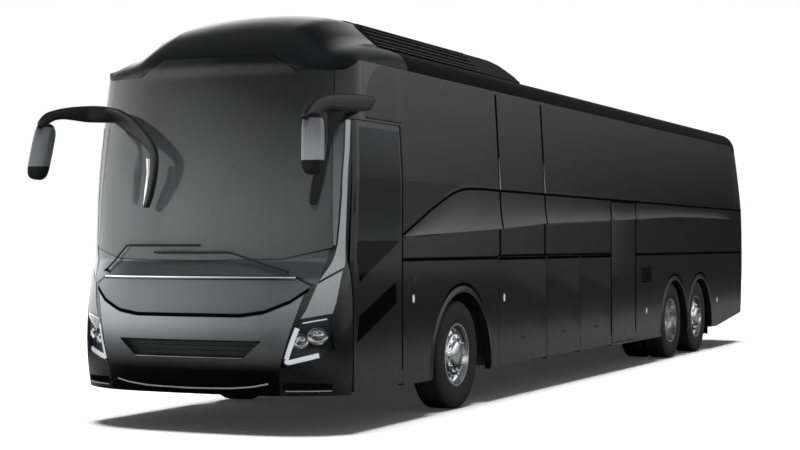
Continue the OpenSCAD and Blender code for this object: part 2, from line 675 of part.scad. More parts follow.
// Floors, rails and bulkheads
deck_z = 1390;
step_z = 400;
platform_z = 960;
floor_y = half_w - wall_t - bond;
bay_front = at(-870);
bay_rear = drive_x + 800;
deck_t = 60;
under_deck = deck_z - deck_t - bond;
rail_top = platform_z - deck_t - bond;
module underframe() {
    color("#26282b") {
        for (s = [1, -1]) on_side(s) {
            block([bay_front + bond, 260, 760], [at(2250), 340, rail_top]);
            block([tail_x + 420, 340, 760], [bay_rear - bond, 430, 960]);
            for (x = [tail_x + 700, tag_x - 900]) block([x, 340, 760], [x + 60, 430, under_deck]);
            block([at(700), 260, 760], [at(760), 340, under_deck]);
        }
        for (x = [at(-560), at(620)]) block([x, -340, 780], [x + 80, 340, 880]);
        for (x = [bay_rear - 700, tag_x - 900]) block([x, -430, 780], [x + 80, 430, 940]);
    }
}
// A towing socket under a rail's front end
module tow_block(s) {
    color("#26282b") difference() {
        on_side(s) block([at(2150), 260, 656], [at(2640), 340, 760 - bond]);
        rod_x(at(2640) - tow_depth, at(2641), s * 300, 706, tow_r);
    }
}
module tow_left() { tow_block(1); }
module tow_right() { tow_block(-1); }
module cabin_floor() {
    color("#26282b") union() {
        block([tail_x + 330, -floor_y + 200, deck_z - deck_t], [tail_end, floor_y - 200, deck_z]);
        block([tail_end - 1, -floor_y, deck_z - deck_t], [at(1150), floor_y, deck_z]);
        block([at(1110), 440, deck_z - deck_t], [at(1240), floor_y, deck_z]);
    }
}
module luggage_bay() {
    color("#26282b") union() {
        block([bay_rear, -floor_y, skirt_z + 20], [bay_front, floor_y, skirt_z + 70]);
        for (x = [bay_front - 40, bay_rear])
            block([x, -floor_y, skirt_z + 20], [x + 40, floor_y, under_deck]);
    }
}
// Cab platform with the step well beside it
module step_well() {
    color("#26282b") difference() {
        union() {
            block([at(1110), -floor_y, platform_z - deck_t], [at(1150), floor_y, under_deck]);
            block([at(1110), -floor_y, platform_z - deck_t], [at(2280), 460, platform_z]);
            block([at(1110), 440, step_z - 40], [at(2320), 460, platform_z]);
            block([at(1200), 440, step_z - 40], [at(2320), 1225, step_z]);
            block([at(1200), 440, step_z - 40], [at(1240), floor_y, under_deck]);
            block([at(1240), 440, step_z - 40], [at(1700), 720, 680]);
        }
        rod_z(column_x, column_y, 0, step_z + 1, 15 + run_gap);
    }
}

module engine() {
    color("#3a3b3d") union() {
        block([tail_x + 480, -330, 520], [tail_x + 1900, 330, 1250]);
        block([tail_x + 900, -420, 960 + bond], [tail_x + 1600, 420, 1100]);
    }
}

// Axles with their air springs
spring_top = 760;
module spring_pair(x, y, low) {
    for (s = [1, -1], d = [-330, 330]) {
        rod_z(x + d, s * y, low, spring_top - bond, 110);
        block([x - 330, s * y - 45, low - 40], [x + 330, s * y + 45, low + 20]);
    }
}
king_y = 985;
king_pin_r = 25;
module front_axle() {
    color("#222326") difference() {
        union() {
            block([front_x - 60, -king_y + 90, 380], [front_x + 60, king_y - 90, 490]);
            for (s = [1, -1]) on_side(s) {
                block([front_x - 50, king_y - 95, 455], [front_x + 50, king_y, 575]);
                rod_z(front_x, king_y, 455, 575, 50);
            }
            spring_pair(front_x, 300, 500);
            for (s = [1, -1])
                block([front_x - 60, s * 300 - 60, 450], [front_x + 60, s * 300 + 60, 500]);
        }
        for (s = [1, -1]) rod_z(front_x, s * king_y, 300, 700, king_pin_r + run_gap);
    }
}
module rear_axle(x, r, bowl, end_y, axle_end) {
    color("#222326") union() {
        rod_y(x, -end_y, end_y, tyre_r, r);
        if (bowl > 0) translate([x, 0, tyre_r]) sphere(bowl);
        spring_pair(x, 385, tyre_r - 30);
        for (s = [1, -1]) on_side(s) rod_y(x, end_y - 1, axle_end, tyre_r, spindle_r);
    }
}
spindle_end = wheel_y + 95;
module drive_axle() { rear_axle(drive_x, 95, 240, wheel_y - 470, wheel_y + 35); }
module tag_axle() { rear_axle(tag_x, 75, 0, wheel_y - 130, spindle_end); }

// A steering knuckle: king pin, carrier over and under the axle's eye, spindle
module knuckle(s) {
    color("#2d2e31") on_side(s) union() {
        rod_z(front_x, king_y, 415, 615, king_pin_r);
        block([front_x - 45, king_y - 40, 585], [front_x + 45, king_y + 85, 620]);
        block([front_x - 45, king_y - 40, 410], [front_x + 45, king_y + 85, 445]);
        block([front_x - 45, king_y + 56, 410], [front_x + 45, king_y + 85, 620]);
        rod_y(front_x, king_y + 80, spindle_end, tyre_r, spindle_r);
    }
}
module knuckle_left() { knuckle(1); }
module knuckle_right() { knuckle(-1); }

// Wheels, built about their own axis with +Z outboard
module wheel_at(x, y, s) {
    on_side(s) translate([x, y, tyre_r]) rotate([-90, 0, 0]) children();
}
bead_r = 286;
module tyre_body() {
    color("#111112") rotate_extrude($fn = 96) polygon([[bead_r + bond, -112], [flange_d / 2 + 4, -114],
        [flange_d / 2 + 125, -tyre_w / 2], [tyre_r, -112], [tyre_r, 112], [flange_d / 2 + 125, tyre_w / 2],
        [flange_d / 2 + 4, 114], [bead_r + bond, 112]]);
}
hub_r = 112;
bore_r = spindle_r + run_gap;
vent_n = 10;
module rim_single() {
    color("#c9ccd0") difference() {
        union() {
            rotate_extrude($fn = 96) polygon([[300, -128], [300, -115], [bead_r, -115], [bead_r, 115],
                [300, 115], [300, 128], [282, 128], [272, 96], [250, 70], [205, 92], [190, 112],
                [hub_r + 30, 112], [hub_r + 10, 135], [hub_r - 22, 147], [0, 147], [0, 102],
                [bore_r, 102], [bore_r, 10], [120, 10], [135, 92], [185, 92], [200, 72], [250, 48],
                [268, 40], [272, -60], [282, -128]]);
            for (i = [0:vent_n - 1])
                rotate(i * 36) translate([167, 0, 100]) cylinder(h = 34, r = 15, $fn = 24);
        }
        for (i = [0:vent_n - 1])
            rotate(i * 36 + 18) translate([226, 0, 0]) cylinder(h = 200, r = 25, $fn = 32);
    }
}
module rim_twin() {
    d = twin_spacing / 2;
    twin_rim = [[300, -128], [300, -115], [bead_r, -115], [bead_r, 115], [300, 115], [300, 128],
        [282, 128], [272, 60], [268, -90], [240, -128], [200, -d + 16], [100, -d + 16], [100, -d],
        [205, -d], [250, -140], [282, -128]];
    color("#c9ccd0") difference() {
        union() {
            for (k = [1, -1]) translate([0, 0, k > 0 ? 0 : -twin_spacing]) rotate_extrude($fn = 96)
                polygon([for (p = twin_rim) [p.x, k * p.y]]);
            rotate_extrude($fn = 96) polygon([[bore_r, -d - 90], [150, -d - 90], [150, 20], [120, 48],
                [0, 48], [0, 102 - 60], [bore_r, 102 - 60]]);
            for (i = [0:vent_n - 1])
                rotate(i * 36) translate([172, 0, -d]) cylinder(h = 52, r = 15, $fn = 24);
        }
        for (i = [0:vent_n - 1])
            rotate(i * 36 + 18) translate([222, 0, -d - 60]) cylinder(h = 120, r = 25, $fn = 32);
    }
}
module tyre_front_left() { wheel_at(front_x, wheel_y, 1) tyre_body(); }
module tyre_front_right() { wheel_at(front_x, wheel_y, -1) tyre_body(); }
module rim_front_left() { wheel_at(front_x, wheel_y, 1) rim_single(); }
module rim_front_right() { wheel_at(front_x, wheel_y, -1) rim_single(); }
module tyre_tag_left() { wheel_at(tag_x, wheel_y, 1) tyre_body(); }
module tyre_tag_right() { wheel_at(tag_x, wheel_y, -1) tyre_body(); }
module rim_tag_left() { wheel_at(tag_x, wheel_y, 1) rim_single(); }
module rim_tag_right() { wheel_at(tag_x, wheel_y, -1) rim_single(); }
module tyres_drive(s) {
    wheel_at(drive_x, wheel_y, s) tyre_body();
    wheel_at(drive_x, wheel_y - twin_spacing, s) tyre_body();
}
module tyres_drive_left() { tyres_drive(1); }
module tyres_drive_right() { tyres_drive(-1); }
module rims_drive_left() { wheel_at(drive_x, wheel_y, 1) rim_twin(); }
module rims_drive_right() { wheel_at(drive_x, wheel_y, -1) rim_twin(); }

// Entrance door: a leaf carried by two arms on an upright column at its front post
column_x = at(2270);
column_y = 1150;
arm_zs = [700, 1360];
arm_reach = 650;
leaf_low = skirt_z + 20;
upper_pane = [[2214, 2550], [1423, 2550], [1423, 1600], [2242, 1255], [2296, 1440]];
lower_pane = [[1523, 1244], [1508, 1057], [2296, 750], [2252, 966]];
// Which way each corner moves when a pane grows
upper_out = [[1, 1], [-1, 1], [-1, -1], [1, -1], [1, -1]];
lower_out = [[-1, 1], [-1, -1], [1, -1], [1, 1]];
module entrance_panes(g, d0, d1) {
    for (o = [[upper_pane, upper_out], [lower_pane, lower_out]]) intersection() {
        along_y(half_w - 300, half_w + 50)
            polygon([for (i = [0:len(o[0]) - 1]) [at(o[0][i].x), o[0][i].y] + g * o[1][i]]);
        along_x(at(door_rear), at(door_front)) wall_profile(leaf_low, door_top, d0, d1);
    }
}
module entrance_door() {
    color("#1a1b1d") difference() {
        union() {
            intersection() {
                along_x(at(door_rear), at(door_front)) wall_profile(leaf_low, door_top, 0, leaf_t);
                along_y(1000, half_w + 100) entrance_outline(0, leaf_low);
            }
            for (z = arm_zs, low = [z - 61, z + 31]) {
                block([column_x - arm_reach - 32, column_y, low],
                    [column_x - arm_reach + 32, half_w - leaf_t + 2, low + 30]);
                rod_z(column_x - arm_reach, column_y, low, low + 30, 32);
            }
            for (z = arm_zs) rod_z(column_x - arm_reach, column_y, z - 60, z + 60, 12);
        }
        entrance_panes(bond, -20, glass_t + bond);
        entrance_panes(-36, -20, 200);
    }
}
module entrance_glass() {
    color("#2a2c2f") entrance_panes(0, 0, glass_t);
}
module door_column() {
    color("#3a3b3d") difference() {
        union() {
            rod_z(column_x, column_y, step_z + bond, 1500, 28);
            rod_z(column_x, column_y, step_z - 36, 1536, 15);
            for (z = arm_zs) {
                block([column_x - arm_reach, column_y - 18, z - 25], [column_x, column_y + 18, z + 25]);
                rod_z(column_x - arm_reach, column_y, z - 25, z + 25, 30);
            }
        }
        for (z = arm_zs) rod_z(column_x - arm_reach, column_y, z - 30, z + 30, 12 + run_gap);
    }
}
// The column's upper bearing, on the front corner
module column_bearing() {
    difference() {
        block([column_x - 30, column_y - 40, 1500 + bond], [at(2400), column_y + 40, 1545]);
        rod_z(column_x, column_y, 1490, 1550, 15 + run_gap);
    }
}

// Middle door: hinged at its front edge
mid_axis_x = at(-mid_front) - leaf_gap - leaf_t / 2;
mid_low = skirt_z + 30;
module middle_cut() {
    block([at(-mid_rear), 800, mid_low], [at(-mid_front), half_w + 50, mid_top]);
    rod_z(mid_axis_x, flap_axis_y, mid_low - 20, mid_top + 20, pin_r + run_gap);
}
module middle_door() {
    color("#1a1b1d") union() {
        block([at(-mid_rear) + leaf_gap, half_w - leaf_t, mid_low + leaf_gap],
            [mid_axis_x, half_w, mid_top - leaf_gap]);
        rod_z(mid_axis_x, flap_axis_y, mid_low + leaf_gap, mid_top - leaf_gap, leaf_t / 2);
        rod_z(mid_axis_x, flap_axis_y, mid_low - 18, mid_top + 18, pin_r);
    }
}

module flap_left_1() { flap(0); }
module flap_left_2() { flap(1); }
module flap_left_3() { flap(2); }
module flap_right_1() { mirror([0, 1, 0]) flap(0); }
module flap_right_2() { mirror([0, 1, 0]) flap(1); }
module flap_right_3() { mirror([0, 1, 0]) flap(2); }

// Seats: rows of two on each side of the aisle
seat_pitch = 860;
seat_rows = 13;
seat_first = at(350);
seat_profile = [[0, 0], [330, 0], [330, 300], [470, 330], [480, 440], [90, 430], [-90, 1060], [-200, 1060],
    [-50, 360], [0, 330]];
module seats() {
    color("#33363a") for (i = [0:seat_rows - 1], s = [1, -1]) on_side(s)
        translate([seat_first - i * seat_pitch, 0, deck_z + bond]) along_y(270, 1190) polygon(seat_profile);
}
// Cockpit: dashboard, steering wheel on its column, driver's seat
module cockpit() {
    color("#202224") {
        along_y(-1000, 400) polygon([[at(2080), platform_z + bond], [at(2240), platform_z + bond],
            [at(2400), 1380], [at(2080), 1440], [at(1980), 1360], [at(2040), 1250]]);
        translate([at(1850), -620, 1420]) rotate([0, -35, 0]) {
            rotate_extrude($fn = 48) translate([215, 0]) circle(16, $fn = 24);
            rotate([0, 90, 0]) translate([0, 0, -215]) cylinder(h = 430, r = 14);
            translate([0, 0, -190]) cylinder(h = 200, r = 35);
        }
        translate([at(1250), 0, platform_z + bond]) along_y(-880, -380) polygon(seat_profile);
    }
}

underframe();
tow_left();
tow_right();
cabin_floor();
luggage_bay();
step_well();
left_side();
right_side();
roof();
front_cap();
front_mask();
grille_panel();
bumper();
headlamps();
windscreen();
side_glass();
rear_wall();
rear_cap();
rear_glass();
tail_lamps();
roof_pod();
mirrors();
wipers();
engine();
front_axle();
drive_axle();
tag_axle();
seats();
cockpit();
entrance_door();
entrance_glass();
door_column();
middle_door();
flap_left_1();
flap_left_2();
flap_left_3();
flap_right_1();
flap_right_2();
flap_right_3();
engine_lid();
knuckle_left();
knuckle_right();
tyre_front_left();
rim_front_left();
tyre_front_right();
rim_front_right();
tyres_drive_left();
rims_drive_left();
tyres_drive_right();
rims_drive_right();
tyre_tag_left();
rim_tag_left();
tyre_tag_right();
rim_tag_right();
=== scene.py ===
import json
import bpy
import bmesh
import numpy as np
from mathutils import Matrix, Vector


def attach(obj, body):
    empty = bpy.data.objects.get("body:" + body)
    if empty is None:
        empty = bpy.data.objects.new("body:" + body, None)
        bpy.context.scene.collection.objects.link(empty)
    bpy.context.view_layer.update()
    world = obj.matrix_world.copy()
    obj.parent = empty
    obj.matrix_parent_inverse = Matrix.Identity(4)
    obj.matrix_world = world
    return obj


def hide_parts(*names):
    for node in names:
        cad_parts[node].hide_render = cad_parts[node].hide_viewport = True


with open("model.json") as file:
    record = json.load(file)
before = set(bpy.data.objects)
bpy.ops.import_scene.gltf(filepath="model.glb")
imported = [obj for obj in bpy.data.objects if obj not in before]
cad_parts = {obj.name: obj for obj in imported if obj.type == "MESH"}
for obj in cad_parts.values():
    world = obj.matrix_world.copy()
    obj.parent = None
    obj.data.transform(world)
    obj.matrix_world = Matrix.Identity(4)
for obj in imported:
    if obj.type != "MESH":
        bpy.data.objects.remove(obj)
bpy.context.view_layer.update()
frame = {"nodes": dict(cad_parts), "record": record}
print("frame loaded:", len(frame["nodes"]), "nodes")

# shader arithmetic: a socket with operators, and one way to add any node
class Wire:
    def __init__(self, tree, socket=None):
        self.tree, self.socket = tree, socket

    def add(self, kind, settings=None, pick=0, **inputs):
        made = self.tree.nodes.new(kind)
        for key, value in (settings or {}).items():
            setattr(made, key, value)
        for key, value in inputs.items():
            socket = made.inputs[int(key[1:]) if key[1:].isdigit() else key.replace("_", " ")]
            if isinstance(value, Wire):
                self.tree.links.new(value.socket, socket)
            else:
                socket.default_value = value
        return Wire(self.tree, made.outputs[pick] if made.outputs else None)

    def math(self, operation, first, second=0.0, clamp=False):
        return self.add("ShaderNodeMath", {"operation": operation, "use_clamp": clamp}, i0=first, i1=second)

    def __add__(self, other): return self.math("ADD", self, other)
    def __radd__(self, other): return self.math("ADD", other, self)
    def __sub__(self, other): return self.math("SUBTRACT", self, other)
    def __rsub__(self, other): return self.math("SUBTRACT", other, self)
    def __mul__(self, other): return self.math("MULTIPLY", self, other)
    def __rmul__(self, other): return self.math("MULTIPLY", other, self)
    def clamped(self): return self.math("ADD", self, 0.0, True)
    def sine(self): return self.math("SINE", self)
    def size(self): return self.math("ABSOLUTE", self)

    # smooth step from 0 at low to 1 at high
    def step(self, low, high):
        return self.add("ShaderNodeMapRange", {"interpolation_type": "SMOOTHSTEP"}, Value=self,
                        From_Min=low, From_Max=high)

    # object coordinates, or with pick 0 the direction that the world is seen in
    def place(self, pick=3): return self.add("ShaderNodeTexCoord", pick=pick)
    def xyz(self, pick=3):
        split = self.add("ShaderNodeSeparateXYZ", Vector=self.place(pick))
        return [Wire(self.tree, s) for s in split.socket.node.outputs]
    # which rays are the camera's own, and which come off a gloss
    def rays(self):
        path = self.add("ShaderNodeLightPath").socket.node.outputs
        return [Wire(self.tree, path[kind]) for kind in ("Is Camera Ray", "Is Glossy Ray")]
    def noise(self, scale, detail=3.0, stretch=None):
        spot = self.place()
        if stretch:
            spot = self.add("ShaderNodeMapping", Vector=spot, Scale=stretch)
        return self.add("ShaderNodeTexNoise", Vector=spot, Scale=scale, Detail=detail)
    def blend(self, dark, light):
        return self.add("ShaderNodeMix", {"data_type": "RGBA"}, 2, i0=self,
                        i6=dark if isinstance(dark, Wire) else (*dark, 1),
                        i7=light if isinstance(light, Wire) else (*light, 1))
    def bump(self, strength, distance):
        return self.add("ShaderNodeBump", Height=self, Strength=strength, Distance=distance)


# a Principled finish: fixed values on its sockets, varying ones from build(wire)
def finish(name, build, **fixed):
    material = bpy.data.materials.new(name)
    material.use_nodes = True
    shader = material.node_tree.nodes["Principled BSDF"]
    for key, value in fixed.items():
        shader.inputs[key.replace("_", " ")].default_value = value
    for key, value in build(Wire(material.node_tree)).items():
        material.node_tree.links.new(value.socket, shader.inputs[key.replace("_", " ")])
    return material


# gloss paint: slow colour drift, fine flake, a thin veil of road dust low down
paintLook = {"black": [(0.0032, 0.0034, 0.0037), (0.0065, 0.0068, 0.0074)], "dust": (0.012, 0.011, 0.0098),
             "dustSpan": (0.33, 0.75)}
def paint(dark, light, rough):
    def build(w):
        x, y, z = w.xyz()
        drift = w.noise(0.9, 2.0)
        flake = w.noise(900.0, 1.0)
        dust = (1 - z.step(*paintLook["dustSpan"])) * w.noise(7.0, 5.0) * 0.55
        return {"Base_Color": dust.blend((drift * 0.8 + flake * 0.2).blend(dark, light), paintLook["dust"]),
                "Roughness": (rough + 0.05 * w.noise(3.0) + dust * 0.35).clamped(),
                "Normal": w.noise(260.0, 1.0).bump(0.012, 0.001)}
    return build


blackPaint = finish("blackPaint", paint(*paintLook["black"], 0.16),
                    Coat_Weight=0.35, Coat_Roughness=0.06, Specular_IOR_Level=0.4)
# cap over the windscreen: its clear coat fades towards the sides
def capPaint(w):
    made = paint(*paintLook["black"], 0.3)(w)
    made["Coat_Weight"] = 0.75 * (1 - w.xyz()[1].size().step(0.85, 1.12))
    return made
capBlack = finish("capBlack", capPaint, Coat_Roughness=0.08, Specular_IOR_Level=0.08)
roofPaint = finish("roofPaint", paint((0.0015, 0.0015, 0.0016), (0.004, 0.004, 0.0042), 0.55),
                   Specular_IOR_Level=0.03)
hoodPaint = finish("hoodPaint", paint((0.10, 0.102, 0.106), (0.13, 0.132, 0.137), 0.3),
                   Metallic=0.75, Coat_Weight=0.3, Coat_Roughness=0.08)

# bumper: grey flake above, running into black below the grille; the grey top is painted light and the long
# fade to black is painted shade
def bumperLitAndShaded(w):
    x, y, z = w.xyz()
    flake = w.noise(0.9, 2.0) * 0.8 + w.noise(900.0, 1.0) * 0.2
    grey = flake.blend((0.26, 0.263, 0.27), (0.32, 0.323, 0.33))
    # painted light high up, fading into painted shade below the grille
    return {"Base_Color": z.step(0.52, 0.92).blend((0.001, 0.001, 0.0011), grey),
            "Metallic": 0.85 * z.step(0.52, 0.8), "Roughness": 0.3 + 0.06 * w.noise(3.0),
            "Normal": w.noise(260.0, 1.0).bump(0.012, 0.001)}
bumperPaint = finish("bumperPaint", bumperLitAndShaded, Coat_Weight=0.05, Coat_Roughness=0.1, Specular_IOR_Level=0.15)


# moulded plastic: leather-fine grain and scuffs
def plastic(dark, light, rough):
    def build(w):
        grain = w.noise(420.0, 2.0)
        return {"Base_Color": (w.noise(6.0) * 0.7 + grain * 0.3).blend(dark, light),
                "Roughness": rough + 0.12 * w.noise(30.0), "Normal": grain.bump(0.12, 0.0006)}
    return build


podPlastic = finish("podPlastic", plastic((0.0015, 0.0015, 0.0017), (0.004, 0.004, 0.0043), 0.55),
                    Specular_IOR_Level=0.06)
blackTrim = finish("blackTrim", plastic((0.004, 0.004, 0.0045), (0.010, 0.010, 0.011), 0.42))
# black rubber, also used for the dark sheets of painted shade and shadow
rubberAndShade = finish("rubberAndShade", plastic((0.0012, 0.0012, 0.0013), (0.0035, 0.0035, 0.0037), 0.75),
                    Specular_IOR_Level=0.0)
dashPlastic = finish("dashPlastic", plastic((0.018, 0.019, 0.02), (0.034, 0.035, 0.037), 0.5))


# painted steel under the floor: dust, oil film and chipped patches
def underSteel(dark, light, rough):
    def build(w):
        dirt = w.noise(3.5, 6.0).step(0.42, 0.68)
        chip = w.noise(55.0, 4.0).step(0.64, 0.72)
        return {"Base_Color": chip.blend(dirt.blend(dark, light), (0.09, 0.075, 0.06)),
                "Roughness": rough + 0.25 * dirt, "Normal": w.noise(120.0, 4.0).bump(0.2, 0.001)}
    return build


chassisSteel = finish("chassisSteel", underSteel((0.018, 0.019, 0.021), (0.045, 0.042, 0.038), 0.45))
axlePaint = finish("axlePaint", underSteel((0.014, 0.014, 0.015), (0.05, 0.045, 0.04), 0.42))
castIron = finish("castIron", underSteel((0.03, 0.031, 0.033), (0.07, 0.066, 0.06), 0.5), Metallic=0.3)
doorSteel = finish("doorSteel", lambda w: {
    "Base_Color": w.noise(40.0, 3.0, (1, 1, 0.05)).blend((0.30, 0.31, 0.32), (0.42, 0.43, 0.44)),
    "Roughness": 0.28 + 0.2 * w.noise(60.0, 2.0, (1, 1, 0.05))}, Metallic=1.0)


# cloudy colour and roughness, for bright metal, mirrors and lit plastic
def cloudy(scale, dark, light, rough, more, grain):
    return lambda w: {"Base_Color": w.noise(scale).blend(dark, light),
                      "Roughness": rough + more * w.noise(grain)}


# turned and polished wheel metal: fine rings round the axle, grime in patches
def alloy(w):
    rings = w.noise(55.0, 3.0, (0.4, 6.0, 0.4))
    grime = w.noise(9.0, 5.0).step(0.55, 0.8)
    return {"Base_Color": grime.blend((0.86, 0.865, 0.88), (0.5, 0.495, 0.49)),
            "Roughness": 0.16 + 0.14 * rings + 0.25 * grime, "Normal": rings.bump(0.03, 0.0008)}
polishedAlloy = finish("polishedAlloy", alloy, Metallic=1.0)
chrome = finish("chrome", cloudy(12.0, (0.66, 0.67, 0.69), (0.78, 0.79, 0.8), 0.07, 0.07, 45.0), Metallic=1.0)


# tyre rubber: dull, with dust in the grain
def rubber(w):
    dusty = w.noise(26.0, 5.0)
    return {"Base_Color": dusty.blend((0.004, 0.004, 0.0043), (0.013, 0.0125, 0.012)),
            "Roughness": 0.62 + 0.25 * dusty, "Normal": w.noise(320.0, 3.0).bump(0.25, 0.0008)}
tyreRubber = finish("tyreRubber", rubber)


# glazing: grey tint with a faint wash of dust
def glazing(dark, light):
    def build(w):
        return {"Base_Color": w.noise(1.3, 2.0).blend(dark, light),
                "Roughness": 0.015 + 0.03 * w.noise(5.0, 4.0)}
    return build


# satin silver on the pillars and cheeks: fine brushing, a little darker low down; also the painted highlights
# low on the bumper and up the panel joints
silverLook = {"dark": (0.20, 0.203, 0.21), "light": (0.40, 0.405, 0.415)}
def silver(w):
    x, y, z = w.xyz()
    glow = z.step(0.95, 1.5) * 0.6 + w.noise(30.0, 3.0, (1, 1, 0.1)) * 0.4
    return {"Base_Color": glow.blend(silverLook["dark"], silverLook["light"]),
            "Roughness": 0.3 + 0.15 * w.noise(50.0, 2.0, (1, 1, 0.1)),
            "Normal": w.noise(240.0, 2.0).bump(0.05, 0.0006)}
silverAndGlints = finish("silverAndGlints", silver, Metallic=0.15, Coat_Weight=0.3)

# windscreen: pale low down and darker towards its top and the door side; a real tint band darkens the top,
# and the rest is painted reflection and shade
def screenTintAndShade(w):
    x, y, z = w.xyz()
    # painted reflection and shade, with a real tint band at the top
    shade = (z.step(1.5, 3.2) * 0.75 + y.step(-1.3, 1.3) * 0.45) * (0.9 + 0.2 * w.noise(1.3, 2.0))
    return {"Base_Color": shade.clamped().blend((0.25, 0.255, 0.26), (0.012, 0.0125, 0.013)),
            "Roughness": 0.1 + 0.03 * w.noise(5.0, 4.0)}
screenGlass = finish("screenGlass", screenTintAndShade, Transmission_Weight=0.6, IOR=1.45)
screenMargin = finish("screenMargin", screenTintAndShade, IOR=1.45)
tintedGlass = finish("tintedGlass", glazing((0.025, 0.026, 0.0275), (0.04, 0.0415, 0.0435)),
                     Transmission_Weight=0.85, IOR=1.37)
# door pane: darker below its cross line; above it a painted reflection, lighter at its top and bottom and
# darkest towards its middle
def doorTintAndShade(w):
    x, y, z = w.xyz()
    # painted reflection: the upper pane is darkest towards its middle
    light = z.step(1.592, 1.602) * (0.25 + 0.75 * (z - 1.98).size().step(0.05, 0.6))
    return {"Base_Color": light.blend((0.002, 0.002, 0.0022), (0.05, 0.052, 0.055)),
            "Roughness": 0.02 + 0.03 * w.noise(5.0, 4.0)}
doorGlass = finish("doorGlass", doorTintAndShade, Transmission_Weight=0.4, IOR=1.18)
lampGlass = finish("lampGlass", glazing((0.86, 0.87, 0.88), (0.92, 0.93, 0.94)),
                   Transmission_Weight=1.0, IOR=1.45)
mirrorGlass = finish("mirrorGlass", cloudy(4.0, (0.55, 0.56, 0.58), (0.62, 0.63, 0.65), 0.03, 0.03, 20.0),
                     Metallic=1.0)


# lamp lens: fluted plastic over a coloured base
def lens(dark, light, ribs):
    def build(w):
        x, y, z = w.xyz()
        flute = (z * ribs).sine() * 0.5 + 0.5
        return {"Base_Color": (flute * 0.6 + w.noise(15.0) * 0.4).blend(dark, light),
                "Roughness": 0.1 + 0.08 * w.noise(30.0), "Normal": flute.bump(0.15, 0.002)}
    return build


redLens = finish("redLens", lens((0.16, 0.006, 0.008), (0.34, 0.015, 0.018), 260.0), Coat_Weight=0.6)
whiteLens = finish("whiteLens", lens((0.5, 0.51, 0.52), (0.8, 0.81, 0.82), 500.0), Coat_Weight=0.6)
lightBar = finish("lightBar", cloudy(60.0, (0.8, 0.82, 0.85), (0.95, 0.96, 1.0), 0.2, 0.1, 30.0),
                  Emission_Color=(0.9, 0.94, 1.0, 1), Emission_Strength=0.55)


# mirror shell: grey paint between black end caps, with painted light low down and painted shade on the far
# mirror
def coverPaintAndShade(w):
    x, y, z = w.xyz()
    ends = (z.step(2.555, 2.562) + (1 - z.step(2.222, 2.229))).clamped()
    # painted light: lighter low down and on the near mirror, with the far one in painted shade
    glow = ((1 - z.step(2.2, 2.6)) * 0.8 + w.noise(14.0) * 0.2) * (0.3 + 0.7 * y.step(-0.5, 0.5))
    grey = glow.blend((0.06, 0.062, 0.065), (0.22, 0.223, 0.23))
    return {"Base_Color": ends.blend(grey, (0.005, 0.005, 0.006)),
            "Roughness": 0.26 + 0.1 * w.noise(40.0) + 0.4 * ends, "Coat_Weight": 0.3 * (1 - ends),
            "Normal": w.noise(300.0, 1.0).bump(0.02, 0.0006)}
mirrorCover = finish("mirrorCover", coverPaintAndShade, Specular_IOR_Level=0.3)


# seat cloth: woven cords with a sheen
def cloth(w):
    x, y, z = w.xyz()
    weave = ((y * 1600.0).sine() * ((x + z) * 1600.0).sine()) * 0.5 + 0.5
    shade = weave * 0.5 + w.noise(5.0) * 0.5
    return {"Base_Color": shade.blend((0.05, 0.054, 0.062), (0.13, 0.136, 0.15)),
            "Roughness": 0.8 + 0.15 * w.noise(90.0), "Normal": weave.bump(0.3, 0.0008)}
seatCloth = finish("seatCloth", cloth, Sheen_Weight=0.3)
seatShell = finish("seatShell", plastic((0.02, 0.021, 0.023), (0.04, 0.041, 0.044), 0.5))
print("finishes made:", len(bpy.data.materials))


# vertices and quads of a grid in mm: around closes the columns, ends caps the first and last rows
def surface(points, around=False, ends=False, along=False):
    rows, cols = points.shape[:2]
    i = np.arange(rows if along else rows - 1)[:, None]
    j = np.arange(cols if around else cols - 1)[None, :]
    i2, j2 = (i + 1) % rows, (j + 1) % cols
    quads = np.stack([i * cols + j, i * cols + j2, i2 * cols + j2, i2 * cols + j], -1).reshape(-1, 4).tolist()
    if ends:
        quads += [list(range(cols))[::-1], list(range((rows - 1) * cols, rows * cols))]
    return points.reshape(-1, 3), quads
def closed(grid): return surface(grid, around=True, ends=True)


# a sheet given by its outer and inner grids, closed into a shell: each row runs out and back
def shellOf(outer, inner): return closed(np.concatenate([outer, inner[:, ::-1]], 1))


# vertices that lie on one another become one
def merge(mesh, reach, outward=False):
    work = bmesh.new()
    work.from_mesh(mesh)
    bmesh.ops.remove_doubles(work, verts=work.verts, dist=reach)
    if outward:
        bmesh.ops.recalc_face_normals(work, faces=work.faces)
    work.to_mesh(mesh)
    work.free()


# one piece from several surfaces, riding on a body
def piece(name, surfaces, material, body="coach_body", nodes=(), sharp=40):
    points, faces, base = [], [], 0
    for grid, quads in surfaces:
        points.append(grid)
        faces += [[base + k for k in quad] for quad in quads]
        base += len(grid)
    mesh = bpy.data.meshes.new(name)
    mesh.from_pydata((np.concatenate(points) * 0.001).tolist(), [], faces)
    merge(mesh, 1e-6, outward=True)
    return settle(name, mesh, material, body, nodes, sharp)


# an object in the scene for a mesh, a lamp or a camera
def linked(name, data):
    obj = bpy.data.objects.new(name, data)
    bpy.context.scene.collection.objects.link(obj)
    return obj


# smooth shading up to an angle, a finish, a body, and the CAD nodes it stands for
def settle(name, mesh, material, body, nodes, sharp):
    mesh.polygons.foreach_set("use_smooth", np.ones(len(mesh.polygons), bool))
    if sharp:
        mesh.set_sharp_from_angle(angle=np.radians(sharp))
    mesh.materials.clear()
    mesh.materials.append(material)
    obj = linked(name, mesh)
    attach(obj, body)
    if nodes:
        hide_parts(*nodes)
    return obj


# a property of all items of a mesh, as the rows of an array
def read(items, key, width=1, kind=float):
    values = np.zeros(len(items) * width, kind)
    items.foreach_get(key, values)
    return values.reshape(-1, width)


